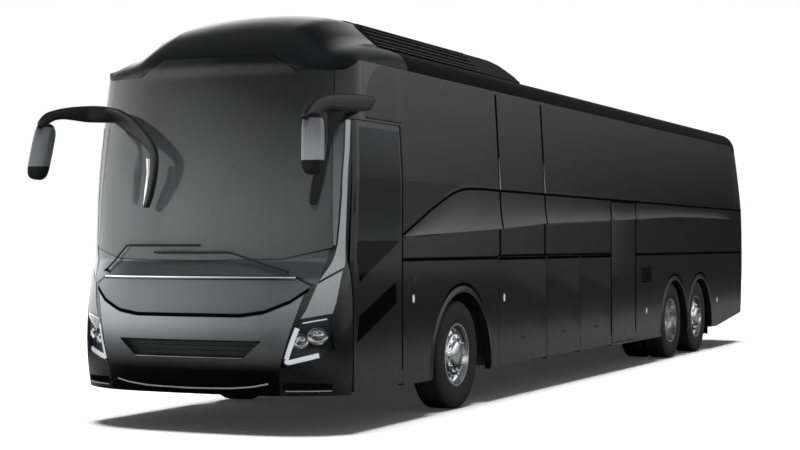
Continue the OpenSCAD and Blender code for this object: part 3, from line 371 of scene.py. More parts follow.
# a CAD node's copy, merged and shaded smooth, or with the normals that a surface function gives
bodyOfNode = {n: b for b, ns in frame["record"]["behaviour"]["bodies"].items() for n in ns}
def dress(node, material, normalOf=None, sharp=28):
    mesh = frame["nodes"][node].data.copy()
    mesh.name = node + "Skin"
    merge(mesh, 2e-5)
    settle(node + "Skin", mesh, material, bodyOfNode[node], (node,), sharp)
    if normalOf:
        corner = read(mesh.loops, "vertex_index", kind=np.int32)[:, 0]
        count = read(mesh.polygons, "loop_total", kind=np.int32)[:, 0]
        flat = np.repeat(read(mesh.polygons, "normal", 3), count, 0)
        wanted = normalOf(read(mesh.vertices, "co", 3)[corner] * 1000)
        near = (wanted * flat).sum(1) > 0.9
        mesh.normals_split_custom_set(np.where(near[:, None], wanted, flat).tolist())


# helpers: points from coordinates, a full turn, a run to both sides, powers with sign, unit vectors,
# a smooth step and a turn about Y
def join(x, y, z): return np.stack(np.broadcast_arrays(x, y, z), -1)
def circle(count): return np.linspace(0, 2 * np.pi, count, endpoint=False)
def bothWays(reach, count): return np.linspace(-reach, reach, count)
def push(f, power): return np.sign(f) * np.abs(f) ** power
def unit(v): return v / np.maximum(1e-9, np.linalg.norm(v, axis=-1, keepdims=True))
def ease(u):
    u = np.clip(u, 0, 1)
    return u * u * (3 - 2 * u)
def tilted(p, turn):
    c, s = np.cos(turn), np.sin(turn)
    return join(p[..., 0] * c + p[..., 2] * s, p[..., 1], p[..., 2] * c - p[..., 0] * s)


# the coach's own measures, in mm, and its surface functions
coach = {"noseX": 7335.0, "tailX": -7665.0, "frontX": 4485.0, "driveX": -3215.0, "tagX": -4615.0,
         "half": 1300.0, "skirt": 330.0, "belt": 2130.0, "cantrail": 3110.0, "lean": 56.0,
         "roof": 3465.0, "corner": 200.0, "dome": 3020.0, "capEnd": 5635.0, "tailEnd": -6865.0,
         "chin": 750.0, "hood": 1290.0, "sill": 1430.0, "screenTop": 3171.0}
half, frontX, dome, lean = coach["half"], coach["frontX"], coach["dome"], coach["lean"]
beltZ, sideRise, cornerR = coach["belt"], coach["cantrail"] - coach["belt"], coach["corner"]
chin, hood, sill = coach["chin"], coach["hood"], coach["sill"]
both, hands = (1, -1), ((1, "left"), (-1, "right"))
# a station counted from the front axle; the half width, upright to the belt and leaning in above it
def at(d): return frontX + d
def sideY(z): return half - lean * np.maximum(0, z - beltZ) / sideRise


leanRun = np.hypot(lean, sideRise)
cornerY = half - lean - cornerR * sideRise / leanRun
cornerZ = coach["cantrail"] - cornerR * lean / leanRun
rise = coach["roof"] - cornerZ
crownR = (cornerY ** 2 + rise ** 2 - cornerR ** 2) / (2 * (rise - cornerR))
crownEdge = cornerY * crownR / (crownR - cornerR)
# roof height over y: crown circle, then the corner circle, then the leaning side
def roofZ(y):
    a = np.abs(y)
    crown = coach["roof"] - crownR + np.sqrt(np.maximum(0, crownR ** 2 - a ** 2))
    corner = cornerZ + np.sqrt(np.maximum(0, cornerR ** 2 - (a - cornerY) ** 2))
    side = beltZ + (half - a) / lean * sideRise
    return np.where(a <= crownEdge, crown, np.where(a <= half - lean, corner, side))
# the roof rises by a smooth step to the pod
pod = {"rise": 185, "edge": 960, "slope": 330}
def podTop(y): return roofZ(y) + pod["rise"] * ease((pod["edge"] - np.abs(y)) / pod["slope"])


# a plan curve of arcs, each from its starting turn on; the last radius closes it at the half width
def planArcs(radii, turns):
    radii, start = np.array(radii), np.radians([0, *turns])
    sine, cosine = np.sin(start), np.cos(start)
    y0 = np.concatenate([[0], np.cumsum(radii * np.diff(sine))])
    back0 = np.concatenate([[0], np.cumsum(-radii * np.diff(cosine))])
    radius = np.append(radii, (half - y0[-1]) / (1 - sine[-1]))
    def pick(edges, b): return np.maximum(np.searchsorted(edges, b) - 1, 0)
    def outward(a):
        k = pick(start, np.abs(a))
        return np.sign(a) * (y0[k] + radius[k] * (np.sin(np.abs(a)) - sine[k]))
    def backward(a):
        k = pick(start, np.abs(a))
        return back0[k] + radius[k] * (cosine[k] - np.cos(a))
    def turnOf(y):
        b = np.minimum(np.abs(y), half)
        k = pick(y0, b)
        return np.sign(y) * np.arcsin(np.clip((b - y0[k]) / radius[k] + sine[k], -1, 1))
    return outward, backward, turnOf


nose = {"radii": (6000.0, 1000.0), "turns": (5.74, 44.4), "tuck": 60, "round": 70, "ledge": 80, "lean": 340,
        "bow": 120}
noseY, noseBack, turnOf = planArcs(nose["radii"], nose["turns"])
# setback by height: tuck under the chin, round to the hood, ledge up to the sill, then the leaning glass
def noseSet(z):
    u = (z - sill) / (coach["screenTop"] - sill)
    tuck = nose["tuck"] * ((chin - z) / (chin - coach["skirt"])) ** 2
    ledge = nose["round"] + nose["ledge"] * (z - hood) / (sill - hood)
    glass = nose["round"] + nose["ledge"] + nose["lean"] * u - nose["bow"] * u * (1 - u)
    return np.where(z < chin, tuck, np.where(z < hood, nose["round"] * ((z - chin) / (hood - chin)) ** 2,
                                             np.where(z < sill, ledge, glass)))
# the plan's sweep back lessens above the hood, to half at the dome; the dome starts higher at the corners
def noseFlat(z): return np.where(z < hood, 1, 1 - 0.5 * (z - hood) / (dome - hood))
def baseZ(a): return dome + (coach["cantrail"] + 0.3 - dome) * ease((np.abs(np.degrees(a)) - 40) / 50)
# a nose point by plan turn and height, moved in by t
def nosePoint(a, z, t=0.0):
    return join(coach["noseX"] - noseSet(z) - noseBack(a) * noseFlat(z) - t * np.cos(a),
                noseY(a) * sideY(z) / half - t * np.sin(a), z)
# the dome over the windscreen: a quarter ellipse from the nose's top edge back to the roof
def domePoint(a, q, t=0.0):
    b = baseZ(a)
    x, y, _ = np.moveaxis(nosePoint(a, b), -1, 0)
    top = np.maximum(b, podTop(y))
    return join(x - (x - coach["capEnd"]) * (1 - np.cos(q)) - t * np.cos(q), y * (1 - t / sideY(b)),
                b + (top - b) * np.sin(q) - t * np.sin(q))
# the plan turn at a sideways place, in a few rounds because the dome's lower edge follows the turn
def frontTurn(y, z):
    a = turnOf(y * half / sideY(np.minimum(z, dome)))
    for _ in range(4):
        a = turnOf(y * half / sideY(np.minimum(z, baseZ(a))))
    return a
# the front at a sideways place and height, on the nose or on the dome over it, moved in by t
def frontSpot(y, z, t=0.0):
    y, z, t = np.broadcast_arrays(y, z, t)
    a = frontTurn(y, z)
    b = baseZ(a)
    p = nosePoint(a, np.minimum(z, b), t)
    q = np.arcsin(np.clip((z - b) / (np.maximum(b + 1, podTop(p[..., 1])) - b), 0, 1))
    return np.where((z > b)[..., None], domePoint(a, q, t), p)


# the tail: a shallow arc with tight corners, leaning in above its middle
tail = {"radii": (8000.0,), "turns": (7.5,), "mid": 1450.0, "low": 520.0, "tuck": 90, "lean": 330}
tailY, tailBack, tailTurnOf = planArcs(tail["radii"], tail["turns"])
def tailSet(z):
    mid = tail["mid"]
    return np.where(z < mid, tail["tuck"] * ((mid - z) / (mid - tail["low"])) ** 2,
                    tail["lean"] * ((z - mid) / (coach["cantrail"] - mid)) ** 2)
def tailPoint(a, z): return join(coach["tailX"] + tailSet(z) + tailBack(a), tailY(a) * sideY(z) / half, z)
def tailDome(a, q):
    x, y, _ = np.moveaxis(tailPoint(a, dome), -1, 0)
    return join(x + (coach["tailEnd"] - x) * (1 - np.cos(q)), y,
                dome + (np.maximum(dome + 1, roofZ(y)) - dome) * np.sin(q))


# normals by central differences of a wall below b and a dome above it; ahead is 1 at the nose, -1 at the tail
def skinNormal(p, a, b, wall, over, top, ahead, margin, dz=2.0, da=0.004):
    y, z = p[:, 1], np.minimum(p[:, 2], b)
    low = ahead * unit(np.cross(wall(a + da, z) - wall(a - da, z), wall(a, z + dz) - wall(a, z - dz)))
    inside = (ahead * (wall(a, z)[:, 0] - p[:, 0]) > 40) & (np.abs(a) > 1.3)
    flank = join(0, np.sign(y), np.where(p[:, 2] > beltZ, lean / sideRise, 0))
    low = np.where(inside[:, None], unit(flank), low)
    q = np.arcsin(np.clip((p[:, 2] - b) / (np.maximum(b + 1, top(y)) - b), 0, 0.9999))
    high = ahead * unit(np.cross(over(a + da, q) - over(a - da, q), over(a, q + da) - over(a, q - da)))
    return np.where((p[:, 2] > b + margin)[:, None], high, low)
def frontNormal(p):
    a = frontTurn(p[:, 1], p[:, 2])
    return skinNormal(p, a, baseZ(a), nosePoint, domePoint, podTop, 1, 1)
def tailNormal(p):
    a = tailTurnOf(p[:, 1] * half / sideY(np.minimum(p[:, 2], dome)))
    return skinNormal(p, a, dome, tailPoint, tailDome, roofZ, -1, 2)


# body panels that the CAD nodes give, in smooth skins
dress("front_cap", capBlack, frontNormal)
dress("front_mask", blackPaint, frontNormal)
dress("grille_panel", hoodPaint, frontNormal)
dress("bumper", bumperPaint, frontNormal)
for node in ("rear_wall", "engine_lid"):
    dress(node, blackPaint, tailNormal)
dress("rear_cap", roofPaint, tailNormal)
dress("roof", roofPaint, sharp=20)
for node in ("left_side", "right_side", "entrance_door"):
    dress(node, blackPaint, sharp=1.5)
flaps = ["flap_%s_%d" % (hand, i) for _, hand in hands for i in (1, 2, 3)]
for node in ["middle_door"] + flaps:
    dress(node, blackPaint, sharp=20)
dress("side_glass", tintedGlass, sharp=1.5)
dress("entrance_glass", doorGlass, sharp=1.5)
dress("rear_glass", tintedGlass, tailNormal)
dress("tail_lamps", redLens, tailNormal)
dress("roof_pod", podPlastic, sharp=40)
for node in ("underframe", "tow_left", "tow_right", "cabin_floor", "luggage_bay", "step_well"):
    dress(node, chassisSteel)
dress("engine", castIron)
for node in ("front_axle", "drive_axle", "tag_axle", "knuckle_left", "knuckle_right"):
    dress(node, axlePaint)
dress("door_column", doorSteel)
for node in ("rim_front_left", "rim_front_right", "rims_drive_left", "rims_drive_right", "rim_tag_left",
             "rim_tag_right"):
    dress(node, polishedAlloy, sharp=30)
print("panels dressed")


# windscreen: sheet between a lower and an upper outline, across the front surface
screen = {"lowY": [0, 800, 1150], "lowZ": [1434, 1450, 1540], "topY": [0, 524, 757, 1085],
          "topZ": [3171, 3171, 3020, 3020], "thick": 10}
lowHalf, topHalf, edgeLow, edgeTop = (screen[key][-1] for key in ("lowY", "topY", "lowZ", "topZ"))
u = bothWays(1, 91)[None, :]
v = np.linspace(0, 1, 49)[:, None]
lowZ = np.interp(np.abs(u) * lowHalf, screen["lowY"], screen["lowZ"])
topZ = np.interp(np.abs(u) * topHalf, screen["topY"], screen["topZ"])
zz = lowZ + (topZ - lowZ) * v
yy = u * (lowHalf - (lowHalf - topHalf) * np.clip((zz - edgeLow) / (edgeTop - edgeLow), -0.1, 1))
piece("screenPane", [shellOf(frontSpot(yy, zz), frontSpot(yy, zz, screen["thick"]))], screenGlass,
      nodes=("windscreen",), sharp=50)


# a line in even steps along its length, smoothed a few times
def even(line, count, smooth=0):
    line = np.asarray(line, float)
    s = np.concatenate([[0], np.cumsum(np.linalg.norm(np.diff(line, axis=0), axis=1))])
    t = np.linspace(0, s[-1], count)
    made = np.stack([np.interp(t, s, column) for column in line.T], -1)
    for _ in range(smooth):
        made[1:-1] = (made[:-2] + 2 * made[1:-1] + made[2:]) / 4
    return made


# a tube: a closed section carried along a smooth path; radius may be two half sizes
def tube(path, radius, up=(0, 0, 1), power=1.0, samples=None, count=14):
    path = even(path, samples, 3) if samples else np.asarray(path, float)
    along = unit(np.gradient(path, axis=0))
    sideways = unit(np.cross(along, np.asarray(up, float)))
    upward = np.cross(sideways, along)
    w, h = np.broadcast_to(np.asarray(radius, float), (len(path), 2)).T[..., None]
    c, s = push(np.cos(circle(count)), power), push(np.sin(circle(count)), power)
    flat, tall = sideways[:, None] * (w * c)[..., None], upward[:, None] * (h * s)[..., None]
    return closed(path[:, None] + flat + tall)


# a rounded strap between an upper and a lower edge line, of a given thickness
def ribbon(upper, lower, thick, samples=44, count=20):
    a, b = even(upper, samples, 2), even(lower, samples, 2)
    middle, tall = (a + b) / 2, (a - b) / 2
    wide = unit(np.cross(unit(np.gradient(middle, axis=0)), unit(tall))) * thick / 2
    c, s = (push(f(circle(count)), 0.55)[None, :, None] for f in (np.cos, np.sin))
    return closed(middle[:, None] + wide[:, None] * c + tall[:, None] * s)


# a soft-edged closed form: a sphere's two angles pushed towards a box by a power, its poles closed
def pillow(middle, size, power=0.4, turn=0.0, crown=0.0, rows=18, cols=28, dents=()):
    p = np.linspace(-np.pi / 2, np.pi / 2, rows)[:, None]
    q = circle(cols)[None, :]
    x, y = (push(np.cos(p), power) * push(f(q), power) for f in (np.cos, np.sin))
    z = push(np.sin(p), power) * (1 + crown * (1 - x * x) * (1 - y * y))
    for place, width, depth in dents:
        z = z * (1 - depth * np.exp(-((y - place) / width) ** 2))
    return closed(tilted(join(x * size[0], y * size[1], z * size[2]), turn) + np.asarray(middle, float))


# mirrors: leaning heads, the left arm with a blade under its elbow, the right arch with its own blade
mirrorLook = {"headX": 7559.5, "headY": 1298, "low": 2110, "tall": 490, "wide": 175, "deep": 120,
              "roll": 5, "pitch": -11}
# an outline of runs and heights, stood up in the plane through two places
def inPlane(p, q, outline):
    p, q, o = np.array(p, float), np.array(q, float), np.array(outline, float)
    e = (q - p) / np.linalg.norm(q - p)
    return join(p[0] + e[0] * o[:, 0], p[1] + e[1] * o[:, 0], o[:, 1])
def strap(plane, top, low, thick): return ribbon(inPlane(*plane, top), inPlane(*plane, low), thick)
# a form rolled and pitched about its middle, then moved to one side's mirror
def leaning(p, side):
    c, s = np.cos(np.radians(mirrorLook["roll"])), np.sin(np.radians(mirrorLook["roll"]))
    p = join(p[..., 0], p[..., 1] * c - p[..., 2] * s, p[..., 1] * s + p[..., 2] * c)
    middle = [mirrorLook["headX"], mirrorLook["headY"], mirrorLook["low"] + mirrorLook["tall"] / 2]
    return (tilted(p, np.radians(mirrorLook["pitch"])) + middle) * [1, side, 1]


head = pillow((0, 0, 0), [mirrorLook[key] / 2 for key in ("deep", "wide", "tall")], 0.5, rows=40, cols=48)
paneLook = {"back": -56, "bulge": 3, "wide": 76, "tall": 222, "power": 0.45, "thick": 8}
r, q = np.linspace(0.02, 1, 6)[:, None], circle(40)[None, :]
c, s = (push(f(q), paneLook["power"]) for f in (np.cos, np.sin))
pane = join(paneLook["back"] - paneLook["bulge"] * (1 - r ** 6), r * paneLook["wide"] * c,
            r * paneLook["tall"] * s)
pane = np.concatenate([pane, pane[:, :1]], 1)
pane = shellOf(pane, pane + [paneLook["thick"], 0, 0])
piece("mirrorHeads", [(leaning(head[0], side), head[1]) for side in both], mirrorCover, sharp=0)
piece("mirrorPanes", [(leaning(pane[0], side), pane[1]) for side in both], mirrorGlass)
armLeftTop = [[1, 2792], [22, 2808], [267, 2807], [572, 2785], [767, 2760], [886, 2723], [972, 2669],
              [1050, 2593], [1044, 2560]]
armLeftLow = [[1, 2770], [56, 2681], [318, 2652], [696, 2650], [785, 2619], [830, 2590], [850, 2570],
              [870, 2552], [1029, 2548]]
leftPlane = ((at(2080), 1345), (at(3080), 1245))
webPlane = ((at(2560), 1297), (at(2720), 1090))
armRightTop = [[-74, 2610], [-34, 2661], [16, 2693], [149, 2730], [295, 2756], [496, 2777]]
armRightLow = [[-74, 2545], [27, 2592], [78, 2625], [191, 2642], [232, 2640], [443, 2628]]
bladeRightTop = [[78, 2773], [296, 2733], [482, 2653], [650, 2542], [775, 2438], [830, 2363], [844, 2274],
                 [824, 2146], [776, 2002], [736, 1914], [700, 1876]]
bladeRightLow = [[79, 2629], [224, 2623], [369, 2547], [511, 2483], [651, 2411], [741, 2343], [762, 2274],
                 [752, 2146], [716, 2002], [676, 1920], [660, 1880]]
rightA = ((at(3040), -1275), (at(2460), -1120))
rightB = ((at(2460), -1120), (at(2720), -450))
webTop = [[150, 2680], [134, 2620], [128, 2450], [140, 2300], [168, 2190], [245, 2131], [262, 2050],
          [275, 1925], [262, 1888]]
webLow = [[-30, 2680], [-14, 2600], [88, 2447], [92, 2371], [130, 2184], [136, 2132], [170, 2010],
          [195, 1905], [215, 1886]]
piece("mirrorArms", [
    strap(leftPlane, armLeftTop, armLeftLow, 60), strap(webPlane, webTop, webLow, 40),
    ribbon(np.concatenate([inPlane(*rightA, armRightTop), inPlane(*rightB, bladeRightTop)]),
           np.concatenate([inPlane(*rightA, armRightLow), inPlane(*rightB, bladeRightLow)]), 46, 70),
    tube([[at(2190), 1175, 2720], [at(2190), 1250, 2720], [at(2190), 1340, 2720]], 29),
    tube([[at(2205), -1150, 2715], [at(2300), -1150, 2715], [at(2500), -1150, 2715]], 21)],
    blackTrim, nodes=("mirrors",), sharp=0)
bladePane = [[690, 2300], [700, 2166], [668, 2040], [655, 1930], [650, 1890]]
bladeEdge = [[752, 2290], [745, 2150], [712, 2010], [680, 1925], [664, 1892]]
piece("bladePane", [strap(rightB, bladeEdge, bladePane, 30)], mirrorGlass, sharp=0)


# wipers: an arm from its spindle and a blade, both following the glass
wiper = {"arms": [[(-920, 1345), (-700, 1560)], [(850, 1345), (330, 1500)]],
         "blades": [(-700, 40, 1560), (-400, 330, 1500)]}
parts = []
for (root, tip), (y0, y1, z) in zip(wiper["arms"], wiper["blades"]):
    s = np.linspace(0, 1, 14)
    parts.append(tube(frontSpot(*(a + (b - a) * s for a, b in zip(root, tip)), -27), (9, 7)))
    s = np.linspace(y0, y1, 24)
    parts.append(tube(frontSpot(s, z, -26), (12, 9), power=0.6))
    parts.append(tube(frontSpot(s[2:-2], z, -12), (3, 8)))
    parts.append(tube(frontSpot(*root, np.array([38.0, 0, -36])), 10.5))
piece("wiperSet", parts, blackTrim, nodes=("wipers",))
print("mirrors and wipers made")


# headlamps: clear lens over a dark bowl, two turned reflectors and an L-shaped light bar
lamp = {"inner": [(837, 560), (950, 930)], "outer": [(1130, 640), (1215, 720), (1185, 985)],
        "bar": [(964, 885), (930, 785), (897, 680), (874, 614), (882, 601), (960, 622), (1050, 645),
                (1116, 664)],
        "brow": [(1000, 925), (1080, 942), (1165, 958)], "dishes": [(975, 780, 62), (1095, 820, 70)]}
# a grid between the lamp's inner and outer edges, on the front and moved in by t
def lampSheet(side, t):
    v = np.linspace(0, 1, 24)
    left, right = (np.stack([np.interp(v, stops, row) for row in zip(*lamp[key])], -1)
                   for key, stops in (("inner", [0, 1]), ("outer", [0, 0.28, 1])))
    u = v[None, :, None]
    y, z = np.moveaxis(left[:, None] * (1 - u) + right[:, None] * u, -1, 0)
    return frontSpot(side * y, z, t)
# a line of sideways places and heights, on the front and moved in by t
def frontLine(line, side, t):
    y, z = np.array(line, float).T
    return frontSpot(side * y, z, t)


lenses, bowls, bars, dishes = [], [], [], []
for side in both:
    lenses.append(shellOf(lampSheet(side, 0.0), lampSheet(side, 4.0)))
    bowls.append(shellOf(lampSheet(side, 50.0), lampSheet(side, 58.0)))
    bars.append(tube(frontLine(lamp["bar"], side, 16.0), (8, 20), samples=40, power=0.7))
    bars.append(tube(frontLine(lamp["brow"], side, 18.0), (6, 5), samples=16))
    for y, z, r in lamp["dishes"]:
        s, q = np.linspace(0, 1, 12)[:, None], circle(36)[None, :]
        ring = r * np.interp(s, [0, 0.6, 0.85, 1], [0.02, 0.55, 0.95, 1.0])
        deep = np.interp(s, [0, 0.35, 0.6, 1], [16, 24, 46, 22])
        base = frontSpot(side * (y + ring * np.cos(q)), z + ring * np.sin(q))
        dishes.append(surface(base - join(deep, 0, 0), around=True))
piece("lampLenses", lenses, lampGlass, nodes=("headlamps",), sharp=50)
piece("lampBowls", bowls, blackTrim, sharp=50)
piece("lightBars", bars, lightBar, sharp=50)
piece("lampDishes", dishes, chrome, sharp=60)

# bright strip over the hood panel, and the lower grille with its slats and rim
strip = {"half": 925, "size": (7, 17)}
mouth = {"half": 530, "flare": 165, "low": 626, "tall": 160, "deep": (66.0, 74.0), "slatDeep": 52.0,
         "slats": [(652, 533), (690, 578), (728, 618), (764, 653)], "slat": (16, 5), "rim": (515, 634)}
s = bothWays(strip["half"], 61)
piece("hoodStrip", [tube(frontSpot(s, hood, -2.0), strip["size"], power=0.85)], chrome, sharp=50)
u, v = bothWays(1, 41)[None, :], np.linspace(0, 1, 9)[:, None]
yy, zz = u * (mouth["half"] + mouth["flare"] * v), mouth["low"] + mouth["tall"] * v
slats = [shellOf(*(frontSpot(yy, zz, t) for t in mouth["deep"]))]
for z, reach in mouth["slats"]:
    slats.append(tube(frontSpot(bothWays(reach, 41), z, mouth["slatDeep"]), mouth["slat"], power=0.7))
piece("mouthGrille", slats, dashPlastic)
reach, z = mouth["rim"]
piece("mouthRim", [tube(frontSpot(bothWays(reach, 41), z, 6.0), (9, 7), power=0.7)], doorSteel)

# a sheet on the front between two edge lines given as sideways place and height, standing proud of it
def frontSheet(edgeA, edgeB, side=1, proud=3.0, deep=4.0, rows=40, cols=9):
    a, b = even(edgeA, rows), even(edgeB, rows)
    u = np.linspace(0, 1, cols)[None, :, None]
    y, z = np.moveaxis(a[:, None] * (1 - u) + b[:, None] * u, -1, 0)
    return shellOf(frontSpot(side * y, z, -proud), frontSpot(side * y, z, deep))


# silver pillar strips with a cheek under each, a dark sheet for the joint under the hood and its painted
# shadow, and bright strips low on the bumper that are painted highlights
pillarEdges = [[(1196, 2600), (1203, 2362), (1201, 2163), (1201, 1963), (1194, 1769), (1183, 1570),
               (1165, 1473), (1136, 1376), (1092, 1268)], [(1226, 2600), (1232, 2362), (1232, 2163),
               (1232, 1963), (1231, 1769), (1229, 1620), (1229, 1540), (1231, 1460), (1232, 1380)]]
cheekEdges = [[(1082, 1240), (1052, 1130), (1020, 1030), (985, 962)],
              [(1228, 1352), (1222, 1220), (1212, 1090), (1194, 1004)]]
piece("pillarStrips", [frontSheet(*edges, side) for edges in (pillarEdges, cheekEdges) for side in both],
      silverAndGlints, sharp=50)
# printed margin of the windscreen between its glass and the pillar strips, coloured with the windscreen's
# painted reflection and shade
marginEdges = [[(1112, 2585), (1120, 2362), (1128, 2163), (1136, 1963), (1144, 1769), (1152, 1560)],
               [(1182, 2585), (1189, 2362), (1187, 2163), (1187, 1963), (1181, 1769), (1171, 1560)]]
piece("screenMargins", [frontSheet(*marginEdges, side, 1.5, 3.0) for side in both], screenMargin,
      sharp=50)
s = bothWays(1, 81)
# a line across the front, with the same heights on both sides
def mirrored(y, ys, zs): return np.stack([y, np.interp(np.abs(y), ys, zs)], -1)
cowlLow = mirrored(s * 1086, [0, 928, 1044, 1090], [1308, 1308, 1244, 1240])
cowlTop = mirrored(s * 1126, [0, 800, 1150], [1424, 1440, 1528])
piece("cowlPanel", [frontSheet(cowlTop, cowlLow, 1, 0.8, 3.0, 81, 12)], hoodPaint,
      sharp=50)
hoodLow = mirrored(bothWays(1030, 81), [0, 500, 700, 900, 1040], [998, 998, 1028, 1113, 1221])
# painted shadow: a dark sheet 30 mm tall below the hood's edge
piece("hoodJointShadow", [frontSheet(hoodLow, hoodLow - [0, 30], 1, 1.5, 3.0, 81, 4)], rubberAndShade, sharp=50)
# painted highlights: silver strips along the bumper's lower lip and the fog recesses' lower edges
lip = [(-728, 432), (-600, 405), (-400, 386), (0, 378), (400, 386), (600, 405), (728, 432)]
fogGlints = [tube(frontSpot(side * np.linspace(860, 1180, 24), 372), (4, 5)) for side in both]
piece("bumperLipGlint", [tube(frontLine(lip, 1, 0.0), (4, 7), samples=50)] + fogGlints, silverAndGlints, sharp=50)
# painted shade: dark sheets where the fog lamps' recesses are
fogEdges = [[(850, 440), (1190, 430)], [(840, 385), (1180, 382)]]
piece("fogRecessShade", [frontSheet(*fogEdges, side, 1.0, 3.0, 24, 5) for side in both], rubberAndShade, sharp=50)
print("front made")


# tyres: a closed profile turned round the axle, with ribs, grooves and shoulder cuts
tyre = {"radius": 515.0, "wide": 295.0, "groove": 13.0, "cut": 9.0, "steps": 264, "y": 1114.5, "twin": 330.0}
def tyreForm(x, y):
    w, r = tyre["wide"] / 2, tyre["radius"]
    side = np.array([(-0.72, 302), (-0.86, 306), (-0.93, 330), (-0.985, 375), (-1, 410), (-0.985, 450),
                     (-0.94, 482), (-0.88, 500), (-0.82, 508)])
    tread = bothWays(0.78, 40)
    crown = np.stack([tread, r - 4 * tread ** 2], -1)
    profile = np.concatenate([side, crown, side[::-1] * [-1, 1], [(0.66, 301), (-0.66, 301)]])
    angle = circle(tyre["steps"])[None, :]
    across, out = profile[:, :1], profile[:, 1:] + 0 * angle
    edge = np.abs(across)
    rib = sum(np.exp(-((across - c) / 0.035) ** 4) for c in (-0.52, -0.18, 0.18, 0.52))
    cut = (edge > 0.6) * (edge < 0.9) * (np.sin(angle * 66) > 0.55)
    out = out - (out > 490) * (tyre["groove"] * np.clip(rib, 0, 1) + tyre["cut"] * cut)
    ringing = (edge > 0.9) * (np.exp(-((out - 355) / 5) ** 2) + np.exp(-((out - 462) / 6) ** 2)) * 0.012
    wide = (across + np.sign(across) * (ringing - 0.014 * (edge > 0.9))) * w
    return surface(join(x + out * np.cos(angle), y + wide, r + out * np.sin(angle)), around=True, along=True)


for axle, x, twin in (("front", frontX, 0), ("drive", coach["driveX"], 1), ("tag", coach["tagX"], 0)):
    for side, hand in hands:
        many = "s" * twin
        name, rider = "tyre%s_%s_%s" % (many, axle, hand), "%s_%s_wheel%s" % (axle, hand, many)
        forms = [tyreForm(x, side * (tyre["y"] - k * tyre["twin"])) for k in range(1 + twin)]
        piece(name + "Tread", forms, tyreRubber, rider, (name,))
print("tyres made")


# arch lips, and dark sheets over them for the shadow above each lip, painted shadow that is widest at the top
arches = [(frontX, 385, 731, 2000), (coach["driveX"], 395, 681, 697), (coach["tagX"], 395, 681, 697)]
# a band round an arch's middle, by turn, radius and how far it stands out
def archBand(x, z, q, r, out, side):
    return closed(join(x + r * np.cos(q), side * (half + out), z + r * np.sin(q)))
def archLip(x, z, r0, span, side):
    q = np.radians(np.linspace(-3, 183, 73))[:, None]
    prof = np.array([(-2, -8), (-2, 7), (6, 9), (14, 8.5), (52, 2), (56, -8)])[None]
    r = np.minimum(r0 + prof[..., 0], span / np.maximum(0.01, np.abs(np.cos(q))))
    return archBand(x, z, q, r, prof[..., 1], side)
# painted shadow: a dark arc over the lip
def archShadow(x, z, r0, side):
    q = np.radians(np.linspace(48, 132, 49))[:, None]
    wide = 1 + 30 * np.sin((q - q[0]) / (q[-1] - q[0]) * np.pi) ** 0.7
    prof = np.array([(0, -6), (0, 2.5), (1, 2.5), (1, -6)])[None]
    return archBand(x, z, q, r0 + prof[..., 0] * wide, prof[..., 1], side)


piece("archLips", [archLip(*arch, side) for side in both for arch in arches], blackPaint)
piece("archShadows", [archShadow(x, z, r + 57, side) for side in both for x, z, r, _ in arches], rubberAndShade)

# upright sheets as closed boxes: mud flaps behind the tag wheels, walls inside the front wheels
def sheet(x0, x1, y0, y1, z0, z1):
    loop = np.array([(x0, y0), (x1, y0), (x1, y1), (x0, y1)])[None]
    return closed(join(loop[..., 0], loop[..., 1], np.linspace(z0, z1, 12)[:, None]))
mudFlap = {"x": (coach["tagX"] - 704, coach["tagX"] - 690), "y": (820, 1242), "z": (225, 800)}
wall = {"y": (600, 612), "top": 1331, "runs": ((-868, -480, 340), (-480, 480, 790), (480, 1108, 340))}
piece("mudFlaps", [sheet(*mudFlap["x"], *(side * y for y in mudFlap["y"]), *mudFlap["z"]) for side in both],
      rubberAndShade)
piece("wheelWalls", [sheet(at(x0), at(x1), *(side * y for y in wall["y"]), z0, wall["top"]) for side in both
                     for x0, x1, z0 in wall["runs"]], blackTrim)


# belt: from the window's lower edge it swells by a tenth of its height to a crease that climbs to the rear
creaseX = np.array([1350, -950, -2250, -4670, -7870, -11350]) + frontX
creaseZ = np.array([1637, 1723, 1790, 1854, 1950, 1980])
edgeX = np.array([1394, 779, 600, 429, 300, 163, 0, -189, -600, -11770]) + frontX
edgeZ = np.array([1640, 1870, 1932, 1988, 2026, 2061, 2088, 2102, 2107, 2107])
belt = {"swell": 0.1, "most": 44.0, "gap": 44.0, "joints": (-1000, -2350), "rear": -11340}
def belts(x0, x1, side, ceiling=4000.0, fade=(0, 0)):
    x = np.linspace(x0, x1, 60)[:, None]
    z0 = np.interp(-x, -creaseX, creaseZ)
    z1 = np.maximum(z0 + 6, np.minimum(np.interp(-x, -edgeX, edgeZ) - 16, ceiling))
    t = np.linspace(0, 1, 14)[None, :]
    swell = np.minimum(belt["most"], belt["swell"] * (z1 - z0))
    swell = swell * (0.1 + 0.9 * ease((x - at(belt["rear"])) / 1500))
    for reach, run in ((x0 - x, fade[0]), (x - x1, fade[1])):
        swell = swell * (ease(reach / run) if run else 1)
    out = np.concatenate([0 * x - 6, swell * t ** 2.2, swell * np.array([[0.85, 0.4, 0.05]]), 0 * x - 6], 1)
    z = np.concatenate([z1, z1 + (z0 - z1) * t, z0 - np.array([[4, 10, 15]]), z0 - 15], 1)
    return closed(join(x, side * (sideY(z) + out), z))


ends = [at(1345)] + [at(j + d * belt["gap"] / 2) for j in belt["joints"] for d in (1, -1)]
runs, rear = list(zip(ends[0::2], ends[1::2])), at(belt["rear"])
leftBelts = [belts(*run, 1) for run in runs + [(at(-5800), rear)]]
leftBelts.append(belts(ends[-1], at(-4762), 1, fade=(0, 70)))
piece("beltLeft", leftBelts, blackPaint, sharp=25)
piece("beltRight", [belts(*run, -1) for run in runs + [(ends[-1], rear)]], blackPaint,
      sharp=25)
piece("beltDoor", [belts(at(-4828), at(-5772), 1, 2062, (70, 0))], blackPaint, "mid_door",
      sharp=25)


